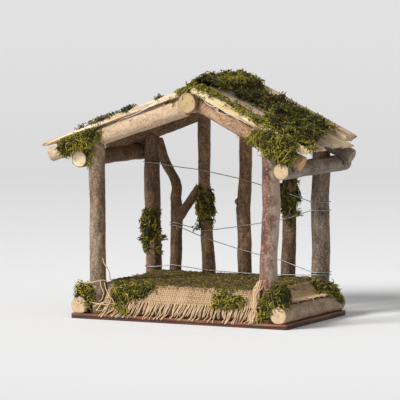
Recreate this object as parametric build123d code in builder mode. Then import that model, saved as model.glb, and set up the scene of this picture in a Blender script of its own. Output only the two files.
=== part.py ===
from build123d import *
import os
from math import asin, atan2, cos, hypot, radians, sin, sqrt

# Rustic stable of logs and split slats on a stained board. Millimetres, +Z up, front towards -Y.
# The origin is on the table, in the middle of the base board.

# Fits
seat = 0.15                 # glue gap between two pieces that seat on each other
housing = 1.5               # how deep one log is let into another
loose = 0.6                 # room round a post where it passes through core, cloth and mat

# Base boards and the logs that lie on them
board_width = 265.0
board_depth = 161.0
upper_board_thickness = 3.2
lower_board_thickness = 2.5
board_corner_radius = 1.5
sill_diameter = 20.0
sill_waist = 0.6            # how much thinner a side log is halfway along
sill_flat = 0.8             # planed off under each log so that it lies flat
front_sill_diameter = 16.0
front_sill_setback = 12.5   # front log's axis behind the front edge of the board

# Raised ground: a light core, burlap over it and a moss mat on top
core_height = 32.6
core_rear_margin = 4.0
core_shoulder = 13.0        # how far the flat top stops short of each side of the core
core_side_rise = 0.6        # side of the core above the top of the side logs
cloth_thickness = 1.2
cloth_lap = 5.0             # cloth past the top of each side log
flap_length = 24.0          # cloth that hangs over the front log
rear_flap_gap = 2.0         # rear flap's edge above the board
flap_side_gap = 1.0
mat_thickness = 3.0
mat_margin = 1.0

# Corner posts
front_post_setback = 15.0
rear_post_setback = 10.0
post_top_spread = 4.8       # how much wider apart the posts are at the eave beams than at their feet
post_front_left_diameter = 18.2
post_front_right_diameter = 19.3
post_rear_left_diameter = 18.1
post_rear_right_diameter = 20.4
post_crook = 0.9            # how far a post strays from a straight line
post_swell = 0.7            # how much thicker a post is at its foot
post_crook_height = 70.0
post_swell_height = 130.0

# Eave beams on the outer sides of the posts
beam_diameter = 18.2
beam_front_overhang = 11.0
beam_rear_overhang = 23.0
beam_bow = 1.0

# Ridge pole and pitch of the two slopes
ridge_height = 243.5
ridge_offset = 11.0         # ridge axis to the right of the middle
ridge_diameter = 22.0
ridge_front_overhang = 13.0
ridge_rear_overhang = 16.0
left_pitch = 19.5
right_pitch = 25.5

# Rafters, each thicker or thinner at the ridge than at the beam
rafter_front_left_ridge_diameter = 21.0
rafter_rear_left_ridge_diameter = 15.0
rafter_front_right_ridge_diameter = 14.0
rafter_rear_right_ridge_diameter = 15.0
left_rafter_beam_diameter = 17.0
right_rafter_beam_diameter = 16.5
rafter_bite = 3.5           # how far a rafter reaches past the side of the ridge pole
left_rafter_tail = 37.0     # rafter past the beam
right_rafter_tail = 15.0
rafter_crook = 1.2

# Purlins, thin sticks let into the rafters, and the gap they leave between rafter and slat
purlin_diameter = 6.0
roof_gap = 3.0
purlin_from_ridge = 32.0
purlin_from_beam = 22.0
purlin_end = 4.0            # purlin past the axis of each rafter

# Split slats
roof_front_overhang = 8.5
roof_rear_overhang = 17.0
ridge_seam = 3.0            # between the undersides of the slats that meet over the ridge pole
left_slat_tail = 42.0       # longest slat past the beam
right_slat_tail = 21.0
slat_gap = 0.8
slat_taper = 1.6            # how much narrower a slat is at one end
slat_shoulder = 0.55        # height of a slat's edge as a part of its thickness
slat_joint = 12.0           # joint of the front left row, down the slope from the lower purlin's upper side
slat_joint_gap = 1.0
# For each row from front to back: share of the width, thickness, how much shorter it is at the eave
left_rows = (
    (0.60, 5.8, 0.0), (1.10, 6.0, 5.0), (1.20, 6.4, 3.0),
    (1.15, 6.0, 8.0), (1.20, 6.6, 2.0), (1.25, 5.6, 6.0),
)
right_rows = (
    (0.60, 8.4, 0.0), (0.95, 7.4, 5.0), (1.10, 6.2, 2.0), (1.15, 6.8, 9.0),
    (1.05, 6.0, 4.0), (1.00, 6.4, 1.0), (1.35, 11.6, 14.0),
)
left_lower_piece_thickness = 5.0

# Branches of the back fence: place of the foot, then sideways shift, height and diameter on the way up
forked_place = 26.0         # to the right of the rear left post's foot
forked_foot_diameter = 14.4
forked_line = ((1.8, 50.0, 13.8), (3.2, 92.0, 13.6), (2.9, 122.0, 12.6))
forked_knee = (-3.0, 146.0, 12.0)
forked_tip_height = 14.0    # above the underside of the left eave beam
forked_tip_diameter = 11.4
forked_side_start = (4.0, 100.0, 10.5)
forked_side_tip_height = 139.0
forked_side_diameter = 9.6
left_branch_place = 45.0    # to the right of the forked branch's foot
left_branch_foot_diameter = 16.4
left_branch_line = ((-0.8, 50.0, 15.4), (-3.8, 95.0, 13.6), (-6.2, 135.0, 13.4))
left_branch_top_shift = -6.8
left_branch_top_diameter = 15.0
middle_branch_place = 0.2   # to the right of the ridge axis
middle_branch_foot_diameter = 17.0
middle_branch_line = ((-0.2, 50.0, 16.2), (-0.6, 90.0, 15.6), (-2.4, 116.0, 16.6), (0.6, 150.0, 14.8))
middle_branch_top_shift = 1.2
middle_branch_top_diameter = 14.6
right_branch_place = 39.3   # to the left of the rear right post's foot
right_branch_foot_diameter = 16.6
right_branch_line = ((0.6, 45.0, 16.4), (2.4, 95.0, 15.8), (2.2, 135.0, 15.0))
right_branch_top_shift = 2.6
right_branch_top_diameter = 14.4

# Fence wires: height at each upright that a wire passes, from left to right, as a share of the height
# from the moss mat to the underside of the left eave beam
wire_diameter = 1.0
wire_room = 0.4             # between wire and bark
wire_tail = 5.0
wire_bend = 8.0
wire_top_heights = (0.982, 0.951, 0.927, 0.856, 0.749, 0.678)
wire_middle_heights = (0.437, 0.374, 0.433, 0.516, 0.603)
wire_cross_heights = (0.413, 0.315, 0.220, 0.133, 0.050)
wire_low_heights = (0.030, 0.054, 0.022, 0.011, 0.014, 0.026)

# Fasteners
screw_diameter = 2.6
screw_head_diameter = 5.0
screw_head_height = 1.4
screw_head_recess = 0.3
screw_bite = 16.0
sill_screw_bite = 11.0
sill_screw_inset = 30.0
nail_diameter = 1.6
nail_head_diameter = 3.6
nail_head_height = 0.7
nail_bite = 7.0             # nail past the middle of the joint it holds
pin_drop = 4.0              # ridge pin below the ridge axis
pin_bite = 8.0
brad_diameter = 1.0
brad_head_diameter = 2.0
brad_head_height = 0.4

# Moss
moss_room = 0.3
moss_shrink = 0.72          # top of a moss pad against its foot
roof_moss_height = 5.5
ridge_moss_height = 5.0
ridge_moss_half_width = 15.0
ridge_moss_front_gap = 34.0
ridge_moss_rear_gap = 16.0
# Outline on the right slope, short of the thick slat at the back, as shares of the slope's length from the
# ridge and of its depth from the front
right_moss_outline = (
    (0.11, 0.37), (0.11, 0.79), (0.77, 0.79), (0.71, 0.70), (0.83, 0.58), (0.85, 0.40),
    (0.97, 0.12), (0.97, 0.01), (0.55, 0.01), (0.48, 0.20), (0.43, 0.36), (0.28, 0.38),
)
eave_moss_depth = 7.0
eave_moss_rise = 9.0        # hanging moss above the undersides of the slats
left_eave_moss_drop = 20.0  # and below them
left_eave_moss_up = 36.0    # up the slope from the beam
left_eave_moss_down = 32.0
right_eave_moss_drop = 18.0
right_eave_moss_up = 56.0
right_eave_moss_down = 12.0
flap_moss_height = 6.0
front_left_moss_inset = 9.0
front_left_moss_width = 44.0
front_left_moss_length = 22.0
front_middle_moss_place = 57.0
front_middle_moss_width = 34.0
front_middle_moss_length = 15.0
log_moss_rise = 13.0        # moss on the left log above its top, and down beside it
log_moss_drop = 7.0
log_moss_margin = 2.0
log_moss_inward = 5.0
right_moss_rise = 8.0       # moss round the right post above the cloth
right_moss_foot = 4.0       # its foot above the board
right_moss_outward = 2.0
rear_moss_length = 26.0
rear_moss_outward = 4.0     # past the middle of the right log
rear_moss_rise = 4.0
sleeve_thickness = 4.5
rear_left_moss_heights = (62.0, 114.0)
left_fence_moss_heights = (95.0, 140.0)
right_fence_moss_heights = (112.0, 152.0)

# Places that follow from the sizes above
board_top = lower_board_thickness + upper_board_thickness
board_front = -board_depth / 2
board_rear = board_depth / 2
front_y = board_front + front_post_setback
rear_y = board_rear - rear_post_setback
sill_x = board_width / 2 - sill_diameter / 2
sill_z = board_top - sill_flat + sill_diameter / 2
sill_top = sill_z + sill_diameter / 2
sill_inner = sill_x - sill_diameter / 2
front_sill_y = board_front + front_sill_setback
front_sill_z = board_top - sill_flat + front_sill_diameter / 2
core_half = sill_inner - seat
core_front = front_sill_y + front_sill_diameter / 2 + seat
core_rear = board_rear - core_rear_margin
core_top = board_top + core_height
core_edge = core_half - core_shoulder
cloth_top = core_top + cloth_thickness
mat_top = cloth_top + seat + mat_thickness
ridge_radius = ridge_diameter / 2
beam_radius = beam_diameter / 2
purlin_radius = purlin_diameter / 2
slat_floor = ridge_radius + seat
roof_front = front_y - roof_front_overhang
roof_rear = rear_y + roof_rear_overhang
ridge_front = front_y - ridge_front_overhang
ridge_rear = rear_y + ridge_rear_overhang
beam_front = front_y - beam_front_overhang
beam_rear = rear_y + beam_rear_overhang
wire_radius = wire_diameter / 2


class Slope:
    """One side of the roof, measured down the slope and square to it from the ridge axis."""

    def __init__(self, side, pitch, rafter_diameter, rafter_tail, slat_tail):
        self.side = side
        self.pitch = radians(pitch)
        self.down = Vector(side * cos(self.pitch), 0, -sin(self.pitch))
        self.out = Vector(side * sin(self.pitch), 0, cos(self.pitch))
        self.beam_x = sill_inner + post_top_spread / 2 + beam_radius
        self.rafter_radius = rafter_diameter / 2
        self.rafter_top = slat_floor - roof_gap
        self.beam_height = self.rafter_top - rafter_diameter - beam_radius + housing
        reach = self.beam_x - side * ridge_offset
        self.beam_along = (reach - sin(self.pitch) * self.beam_height) / cos(self.pitch)
        self.beam_z = self.at(self.beam_along, self.beam_height, 0).Z
        self.rafter_end = self.beam_along + rafter_tail
        self.slat_end = self.beam_along + slat_tail
        self.slat_start = (ridge_seam / 2 - slat_floor * sin(self.pitch)) / cos(self.pitch)
        self.purlins = (purlin_from_ridge, self.beam_along - purlin_from_beam)

    def at(self, along, height, y):
        """Point so far down the slope from the ridge axis and so far out from it."""
        return Vector(ridge_offset, y, ridge_height) + self.down * along + self.out * height

    def across(self, along, height, y):
        """Plane square to the slope's fall, its own X along the ridge and its own Y outwards."""
        return Plane(origin=self.at(along, height, y), x_dir=(0, self.side, 0), z_dir=self.down)

    def rafter_radius_at(self, along, ridge_diameter_here):
        """Radius of a rafter, which tapers evenly from the ridge to the beam and on."""
        start = ridge_diameter_here / 2
        return start + (self.rafter_radius - start) * along / self.beam_along

    def rafter_axis(self, x, ridge_diameter_here):
        """Distance down the slope where a rafter's axis crosses a sideways place."""
        start = ridge_diameter_here / 2
        lean = (self.rafter_radius - start) / self.beam_along
        reach = abs(x - ridge_offset) - sin(self.pitch) * (self.rafter_top - start)
        return reach / (cos(self.pitch) - sin(self.pitch) * lean)


left = Slope(-1, left_pitch, left_rafter_beam_diameter, left_rafter_tail, left_slat_tail)
right = Slope(1, right_pitch, right_rafter_beam_diameter, right_rafter_tail, right_slat_tail)

pieces = []


def keep(piece, label):
    """Label a finished piece and list it for writing."""
    piece.label = label
    pieces.append(piece)
    return piece


def rod(start, end, diameter):
    """Plain round bar from one point to another."""
    start, end = Vector(start), Vector(end)
    with BuildPart() as bar:
        with BuildSketch(Plane(origin=start, z_dir=end - start)):
            Circle(diameter / 2)
        extrude(amount=(end - start).length)
    return bar.part


def headed(start, end, diameter, head_diameter, head_height):
    """Nail with its head outside the start point and its shank to the end point."""
    start, end = Vector(start), Vector(end)
    along = (end - start).normalized()
    with BuildPart() as nail:
        with BuildSketch(Plane(origin=start, z_dir=along)):
            Circle(diameter / 2)
        extrude(amount=(end - start).length)
        with BuildSketch(Plane(origin=start, z_dir=-along)):
            Circle(head_diameter / 2)
        extrude(amount=head_height)
    return nail.part


def stick(stations, square_to, x_dir, hollows=(), grow=0.0):
    """Natural stick lofted through round sections, each a centre and a diameter."""
    with BuildPart() as log:
        for index, (centre, diameter) in enumerate(stations):
            normal = square_to
            if normal is None:
                before = Vector(stations[max(index - 1, 0)][0])
                after = Vector(stations[min(index + 1, len(stations) - 1)][0])
                normal = after - before
            with BuildSketch(Plane(origin=centre, x_dir=x_dir, z_dir=normal)):
                Circle(diameter / 2 + grow)
        loft(ruled=True)
        for hollow in hollows:
            add(hollow, mode=Mode.SUBTRACT)
    return log.part


def pad(plane, outline, height, hollows=()):
    """Moss pad: a closed outline that draws in towards its top."""
    centre_x = sum(x for x, y in outline) / len(outline)
    centre_y = sum(y for x, y in outline) / len(outline)
    with BuildPart() as moss:
        for level, share in ((0, 1.0), (height * moss_shrink, 0.5 + moss_shrink / 2), (height, moss_shrink)):
            corners = [
                (centre_x + (x - centre_x) * share, centre_y + (y - centre_y) * share) for x, y in outline
            ]
            with BuildSketch(plane.offset(level)):
                with BuildLine():
                    Polyline(*corners, close=True)
                make_face()
        loft(ruled=True)
        for hollow in hollows:
            add(hollow, mode=Mode.SUBTRACT)
    return moss.part


# Lines of the logs: section centres and diameters

def sill_line(side):
    ends = ((board_front, sill_diameter), (0, sill_diameter - sill_waist), (board_rear, sill_diameter))
    return [((side * sill_x, y, sill_z), size) for y, size in ends]


def beam_line(slope):
    places = ((beam_front, 0), ((beam_front + beam_rear) / 2, beam_bow), (beam_rear, 0))
    return [((slope.side * (slope.beam_x + bow), y, slope.beam_z), beam_diameter) for y, bow in places]


ridge_line = [
    ((ridge_offset, ridge_front, ridge_height), ridge_diameter),
    ((ridge_offset, ridge_rear, ridge_height), ridge_diameter),
]


def rafter_line(slope, y, ridge_size, crook):
    begin = ridge_radius - rafter_bite
    places = ((begin, 0), (slope.beam_along / 2, crook), (slope.beam_along, 0), (slope.rafter_end, crook))
    stations = []
    for along, shift in places:
        radius = slope.rafter_radius_at(along, ridge_size)
        stations.append((slope.at(along, slope.rafter_top - radius, y + shift), 2 * radius))
    return stations


def purlin_line(slope, along):
    height = slat_floor - seat - purlin_radius
    ends = (front_y - purlin_end, rear_y + purlin_end)
    return [(slope.at(along, height, y), purlin_diameter) for y in ends]


def post_line(slope, y, size, crook, ridge_size):
    """Post from the board, beside the side log, to the eave beam and up under its rafter."""
    foot_x = sill_inner - size / 2 + housing
    top_x = slope.beam_x - beam_radius - size / 2 + housing
    shoulder = slope.beam_z - beam_radius
    lean = (top_x - foot_x) / (shoulder - board_top)
    along = slope.rafter_axis(slope.side * top_x, ridge_size)
    top_z = slope.at(along, slope.rafter_top - slope.rafter_radius_at(along, ridge_size), y).Z
    stations = [((slope.side * foot_x, y, board_top), size + post_swell)]
    for height, shift in ((post_crook_height, crook), (post_swell_height, -crook)):
        x = foot_x + lean * (height - board_top)
        stations.append(((slope.side * (x + shift), y + shift, height), size))
    stations.append(((slope.side * top_x, y, shoulder), size))
    stations.append(((slope.side * top_x, y, top_z), size))
    return stations


def branch_line(place, foot_size, line, top_shift, top_size, top_z):
    stations = [((place, rear_y, board_top), foot_size)]
    stations += [((place + shift, rear_y, height), size) for shift, height, size in line]
    stations.append(((place + top_shift, rear_y, top_z), top_size))
    return stations


def under_rafter(slope, x, ridge_size):
    """Height of a rafter's axis over a sideways place, where a branch below it ends."""
    along = slope.rafter_axis(x, ridge_size)
    return slope.at(along, slope.rafter_top - slope.rafter_radius_at(along, ridge_size), rear_y).Z


rafter_sizes = {
    "front_left": (left, front_y, rafter_front_left_ridge_diameter, -rafter_crook),
    "front_right": (right, front_y, rafter_front_right_ridge_diameter, rafter_crook),
    "rear_left": (left, rear_y, rafter_rear_left_ridge_diameter, rafter_crook),
    "rear_right": (right, rear_y, rafter_rear_right_ridge_diameter, -rafter_crook),
}
post_sizes = {
    "front_left": (left, front_y, post_front_left_diameter, post_crook),
    "front_right": (right, front_y, post_front_right_diameter, -post_crook),
    "rear_left": (left, rear_y, post_rear_left_diameter, -post_crook),
    "rear_right": (right, rear_y, post_rear_right_diameter, post_crook),
}
rafter_lines = {name: rafter_line(*sizes) for name, sizes in rafter_sizes.items()}
post_lines = {name: post_line(*sizes, rafter_sizes[name][2]) for name, sizes in post_sizes.items()}
front_sill_line = []
for name, side in (("front_left", -1), ("front_right", 1)):
    foot, foot_size = post_lines[name][0]
    end_x = foot[0] - side * (foot_size / 2 - housing)
    front_sill_line.append(((end_x, front_sill_y, front_sill_z), front_sill_diameter))
forked_x = post_lines["rear_left"][0][0][0] + forked_place
left_branch_x = forked_x + left_branch_place
middle_branch_x = ridge_offset + middle_branch_place
right_branch_x = post_lines["rear_right"][0][0][0] - right_branch_place
left_branch = branch_line(
    left_branch_x, left_branch_foot_diameter, left_branch_line, left_branch_top_shift,
    left_branch_top_diameter,
    under_rafter(left, left_branch_x + left_branch_top_shift, rafter_rear_left_ridge_diameter),
)
middle_branch = branch_line(
    middle_branch_x, middle_branch_foot_diameter, middle_branch_line, middle_branch_top_shift,
    middle_branch_top_diameter, ridge_height - ridge_radius + housing,
)
right_branch = branch_line(
    right_branch_x, right_branch_foot_diameter, right_branch_line, right_branch_top_shift,
    right_branch_top_diameter,
    under_rafter(right, right_branch_x + right_branch_top_shift, rafter_rear_right_ridge_diameter),
)


def section_at(stations, height):
    """Centre and radius of a standing stick at a height."""
    for (low, low_size), (high, high_size) in zip(stations, stations[1:]):
        if Vector(high).Z >= height:
            low, high = Vector(low), Vector(high)
            part = (height - low.Z) / (high.Z - low.Z)
            return low + (high - low) * part, (low_size + (high_size - low_size) * part) / 2
    return Vector(stations[-1][0]), stations[-1][1] / 2


along_x, along_y, along_z = (1, 0, 0), (0, 1, 0), (0, 0, 1)


# Fasteners, made first because the wood is drilled with them

standing = {
    **post_lines, "left_branch": left_branch, "middle_branch": middle_branch, "right_branch": right_branch,
    "forked_branch": [((forked_x, rear_y, board_top), forked_foot_diameter)],
}
screw_places = {name: (*stations[0][0][:2], screw_bite) for name, stations in standing.items()}
for name, side in (("left_log", -1), ("right_log", 1)):
    screw_places[name, "front"] = (side * sill_x, board_front + sill_screw_inset, sill_screw_bite)
    screw_places[name, "rear"] = (side * sill_x, board_rear - sill_screw_inset, sill_screw_bite)
    screw_places["front_log", name] = (side * sill_screw_inset, front_sill_y, sill_screw_bite)
screw_neck = screw_head_recess + screw_head_height
screws = {}
for name, (x, y, bite) in screw_places.items():
    tip = (x, y, board_top + bite)
    screws[name] = headed((x, y, screw_neck), tip, screw_diameter, screw_head_diameter, screw_head_height)

beam_nails = {}
rafter_nails = {}
for name, (slope, y, ridge_size, crook) in rafter_sizes.items():
    tip_x = slope.beam_x - beam_radius - nail_bite
    head_x = slope.beam_x + beam_radius + beam_bow
    beam_nails[name] = headed(
        (slope.side * head_x, y, slope.beam_z), (slope.side * tip_x, y, slope.beam_z),
        nail_diameter, nail_head_diameter, nail_head_height,
    )
    top = slope.at(slope.beam_along, slope.rafter_top, y)
    tip = slope.at(slope.beam_along, slope.beam_height + beam_radius - nail_bite, y)
    rafter_nails[name] = headed(top, tip, nail_diameter, nail_head_diameter, nail_head_height)
pin_z = ridge_height - pin_drop
pin_reach = ridge_radius + pin_bite
ridge_pins = {
    y: rod((ridge_offset - pin_reach, y, pin_z), (ridge_offset + pin_reach, y, pin_z), nail_diameter)
    for y in (front_y, rear_y)
}


def rows_of(slope, rows):
    """Middle, width, thickness and eave end of each row of slats."""
    depth = roof_rear - roof_front
    unit = (depth - slat_gap * (len(rows) - 1)) / sum(share for share, thickness, short in rows)
    edge = roof_front
    found = []
    for share, thickness, short in rows:
        width = share * unit
        found.append((edge + width / 2, width, thickness, slope.slat_end - short))
        edge += width + slat_gap
    return found


left_found = rows_of(left, left_rows)
right_found = rows_of(right, right_rows)
joint_along = left.purlins[1] - slat_joint
*front_place, front_thickness, front_end = left_found[0]
# Each slat: slope, label, middle, width, thickness, start and end down the slope
slats = [
    (left, "slat_left_1_upper", *front_place, front_thickness, left.slat_start, joint_along - slat_joint_gap),
    (left, "slat_left_1_lower", *front_place, left_lower_piece_thickness, joint_along, front_end),
]
for index, (middle, width, thickness, end) in enumerate(left_found[1:], 2):
    slats.append((left, f"slat_left_{index}", middle, width, thickness, left.slat_start, end))
for index, (middle, width, thickness, end) in enumerate(right_found, 1):
    slats.append((right, f"slat_right_{index}", middle, width, thickness, right.slat_start, end))

brads = []
slat_drill = {}
purlin_drill = {}
for slope, label, middle, width, thickness, start, end in slats:
    slat_drill[label] = []
    for order, along in enumerate(slope.purlins):
        if start < along < end:
            top = slope.at(along, slat_floor + thickness, middle)
            tip = slope.at(along, slat_floor - seat - purlin_radius, middle)
            brads.append(headed(top, tip, brad_diameter, brad_head_diameter, brad_head_height))
            hole = rod(top + slope.out * brad_head_height, tip, brad_diameter)
            slat_drill[label].append(hole)
            purlin_drill.setdefault((slope.side, order), []).append(hole)


# Base

def board(label, bottom, thickness, holes):
    """One board of the base, drilled for the screws; holes are levels and diameters."""
    with BuildPart() as plate:
        with BuildSketch(Plane.XY.offset(bottom)):
            RectangleRounded(board_width, board_depth, board_corner_radius)
        extrude(amount=thickness)
        for level, depth, diameter in holes:
            with BuildSketch(Plane.XY.offset(level)):
                with Locations([(x, y) for x, y, bite in screw_places.values()]):
                    Circle(diameter / 2)
            extrude(amount=depth, mode=Mode.SUBTRACT)
    return keep(plate.part, label)


board("base_board_lower", 0, lower_board_thickness, (
    (0, screw_neck, screw_head_diameter), (0, lower_board_thickness, screw_diameter),
))
board("base_board_upper", lower_board_thickness, upper_board_thickness, (
    (lower_board_thickness, upper_board_thickness, screw_diameter),
))

with BuildPart() as under_logs:
    with BuildSketch(Plane.XY.offset(board_top)):
        Rectangle(board_width + sill_diameter, board_depth + sill_diameter)
    extrude(amount=-sill_diameter)
planed = under_logs.part

sill_bodies = {
    side: stick(sill_line(side), along_y, along_x, grow=seat)
    for side in (-1, 1)
}
for side, name in ((-1, "left"), (1, "right")):
    drilled = [screws[f"{name}_log", "front"], screws[f"{name}_log", "rear"]]
    keep(stick(sill_line(side), along_y, along_x, [planed, *drilled]), f"sill_log_{name}")

post_feet = {
    name: stick(stations, along_z, along_x, grow=seat)
    for name, stations in post_lines.items()
}
front_sill_hollows = [planed, post_feet["front_left"], post_feet["front_right"]]
front_sill_hollows += [screws["front_log", "left_log"], screws["front_log", "right_log"]]
keep(stick(front_sill_line, along_x, along_y, front_sill_hollows), "sill_log_front")

# Posts, beams, ridge pole and rafters

beam_bodies = {slope.side: stick(beam_line(slope), along_y, along_x, grow=seat) for slope in (left, right)}
ridge_body = stick(ridge_line, along_y, along_x, grow=seat)
rafter_bodies = {
    name: stick(rafter_lines[name], sizes[0].down, along_y, [ridge_body], grow=seat)
    for name, sizes in rafter_sizes.items()
}
purlin_bodies = {
    (slope.side, order): stick(purlin_line(slope, along), along_y, along_x, grow=seat)
    for slope in (left, right)
    for order, along in enumerate(slope.purlins)
}

for name, stations in post_lines.items():
    slope = post_sizes[name][0]
    hollows = [
        sill_bodies[slope.side], beam_bodies[slope.side], rafter_bodies[name],
        beam_nails[name], rafter_nails[name], screws[name],
    ]
    keep(stick(stations, along_z, along_x, hollows), f"post_{name}")

for slope, name in ((left, "left"), (right, "right")):
    drilled = [beam_nails[f"front_{name}"], beam_nails[f"rear_{name}"]]
    drilled += [rafter_nails[f"front_{name}"], rafter_nails[f"rear_{name}"]]
    keep(stick(beam_line(slope), along_y, along_x, drilled), f"eave_beam_{name}")

keep(stick(ridge_line, along_y, along_x, list(ridge_pins.values())), "ridge_pole")

for name, (slope, y, ridge_size, crook) in rafter_sizes.items():
    hollows = [ridge_body, beam_bodies[slope.side], rafter_nails[name], ridge_pins[y]]
    hollows += [purlin_bodies[slope.side, order] for order in range(len(slope.purlins))]
    keep(stick(rafter_lines[name], slope.down, along_y, hollows), f"rafter_{name}")

for slope, name in ((left, "left"), (right, "right")):
    for order, place in enumerate(("upper", "lower")):
        line = purlin_line(slope, slope.purlins[order])
        keep(stick(line, along_y, along_x, purlin_drill[slope.side, order]), f"purlin_{name}_{place}")

# Slats

for index, (slope, label, middle, width, thickness, start, end) in enumerate(slats):
    narrow_first = index % 2 == 0
    with BuildPart() as slat:
        for along, is_first in ((start, True), (end, False)):
            half = width / 2 - (slat_taper / 2 if is_first == narrow_first else 0)
            edge = thickness * slat_shoulder
            with BuildSketch(slope.across(along, slat_floor, middle)):
                with BuildLine():
                    Polyline((-half, edge), (-half, 0), (half, 0), (half, edge))
                    ThreePointArc((half, edge), (0, thickness), (-half, edge))
                make_face()
        loft(ruled=True)
        for hole in slat_drill[label]:
            add(hole, mode=Mode.SUBTRACT)
    keep(slat.part, label)

# Back fence

rear_rafters = [rafter_bodies["rear_left"], rafter_bodies["rear_right"]]
for label, stations in (("left", left_branch), ("middle", middle_branch), ("right", right_branch)):
    hollows = [ridge_body, *rear_rafters, screws[f"{label}_branch"]]
    keep(stick(stations, along_z, along_x, hollows), f"fence_branch_{label}")

# The forked branch leans its bent main stem on the rear left post and its side stem on the next branch.
forked_tip_z = left.beam_z - beam_radius + forked_tip_height
rear_left_centre, rear_left_radius = section_at(post_lines["rear_left"], forked_tip_z)
left_centre, left_radius = section_at(left_branch, forked_side_tip_height)
forked_stations = [((forked_x, rear_y, board_top - housing), forked_foot_diameter)]
forked_stations += [((forked_x + shift, rear_y, height), size) for shift, height, size in forked_line]
knee_shift, knee_height, knee_size = forked_knee
forked_stations.append(((forked_x + knee_shift, rear_y, knee_height), knee_size))
forked_tip_x = rear_left_centre.X + rear_left_radius
forked_stations.append(((forked_tip_x, rear_y, forked_tip_z), forked_tip_diameter))
side_shift, side_height, side_size = forked_side_start
side_foot = Vector(forked_x + side_shift, rear_y, side_height)
side_tip = Vector(left_centre.X - left_radius, rear_y, forked_side_tip_height)
side_stations = [
    (side_foot, side_size),
    ((side_foot + side_tip) / 2, (side_size + forked_side_diameter) / 2),
    (side_tip, forked_side_diameter),
]
left_branch_body = stick(left_branch, along_z, along_x, grow=seat)


def forked_branch(grow=0.0, hollows=()):
    """Main stem and side stem in one piece of wood."""
    main_stem = stick(forked_stations, None, along_y, grow=grow)
    side_stem = stick(side_stations, None, along_y, grow=grow)
    with BuildPart() as branch:
        add(main_stem)
        add(side_stem)
        with BuildSketch(Plane.XY.offset(board_top)):
            with Locations((forked_x, rear_y)):
                Rectangle(2 * forked_foot_diameter, 2 * forked_foot_diameter)
        extrude(amount=-forked_foot_diameter, mode=Mode.SUBTRACT)
        for hollow in hollows:
            add(hollow, mode=Mode.SUBTRACT)
    return branch.part


forked_hollows = [post_feet["rear_left"], left_branch_body, screws["forked_branch"]]
keep(forked_branch(hollows=forked_hollows), "fence_branch_forked")

# Raised ground

side_level = sill_top + core_side_rise
lap_radius = sill_diameter / 2 + 2 * seat
cloth_under = [(core_edge, core_top), (core_half, side_level)]
for reach in (0, cloth_lap / 2, cloth_lap):
    cloth_under.append((sill_x + reach, sill_z + sqrt(lap_radius**2 - reach**2)))
# The flap runs from the front edge of the core, tangent to the front log
edge_gap_y = core_front - front_sill_y
edge_gap_z = core_top - front_sill_z
flap_lean = asin((front_sill_diameter / 2 + 2 * seat) / hypot(edge_gap_y, edge_gap_z))
flap_turn = atan2(edge_gap_y, edge_gap_z) + flap_lean
flap_down = Vector(0, -sin(flap_turn), -cos(flap_turn))
flap_out = Vector(0, -cos(flap_turn), sin(flap_turn))
flap_half = min(
    abs(post_lines[name][0][0][0]) - post_lines[name][0][1] / 2 for name in ("front_left", "front_right")
) - flap_side_gap
rear_flap_half = min(abs(post_lines[name][0][0][0]) for name in ("rear_left", "rear_right"))
ground_holes = [
    stick(stations, along_z, along_x, grow=loose)
    for stations in (*post_lines.values(), left_branch, middle_branch, right_branch)
]
ground_holes.append(forked_branch(grow=loose))


def core_outline(half_width, bottom, top):
    """Outline of the raised ground seen from the front, with a slope down to each side log."""
    half = [(half_width, bottom), (half_width, side_level), (core_edge, top)]
    return [*half, *[(-x, z) for x, z in reversed(half)]]


with BuildPart() as core:
    with BuildSketch(Plane.XZ.offset(-core_rear)):
        with BuildLine():
            Polyline(*core_outline(core_half, board_top, core_top), close=True)
        make_face()
    extrude(amount=core_rear - core_front)
    for hole in ground_holes:
        add(hole, mode=Mode.SUBTRACT)
core_body = keep(core.part, "ground_core")

with BuildPart() as cloth:
    with BuildSketch(Plane.XZ.offset(-core_rear)):
        under = [*[(-x, z) for x, z in reversed(cloth_under)], *cloth_under]
        over = [(x, z + cloth_thickness) for x, z in reversed(under)]
        with BuildLine():
            Polyline(*under, *over, close=True)
        make_face()
    extrude(amount=core_rear - core_front)
    with BuildSketch(Plane.YZ.offset(-flap_half)):
        top_edge = Vector(0, core_front, core_top)
        lower_edge = top_edge + flap_down * flap_length
        outer_edge = lower_edge + flap_out * cloth_thickness
        with BuildLine():
            Polyline(
                (top_edge.Y, top_edge.Z), (lower_edge.Y, lower_edge.Z), (outer_edge.Y, outer_edge.Z),
                (core_front, cloth_top), close=True,
            )
        make_face()
    extrude(amount=2 * flap_half)
    with BuildSketch(Plane.XZ.offset(-core_rear)):
        with BuildLine():
            Polyline(*core_outline(rear_flap_half, board_top + rear_flap_gap, cloth_top), close=True)
        make_face()
    extrude(amount=-cloth_thickness)
    for hole in ground_holes:
        add(hole, mode=Mode.SUBTRACT)
cloth_body = keep(cloth.part, "burlap_cover")

with BuildPart() as mat:
    with BuildSketch(Plane.XY.offset(cloth_top + seat)):
        with Locations((0, (core_front + core_rear) / 2)):
            Rectangle(2 * (core_edge - mat_margin), core_rear - core_front - 2 * mat_margin)
    extrude(amount=mat_thickness)
    for hole in ground_holes:
        add(hole, mode=Mode.SUBTRACT)
mat_body = keep(mat.part, "moss_mat")

# Wires

forked_upright = forked_stations[:len(forked_line) + 1]


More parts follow.
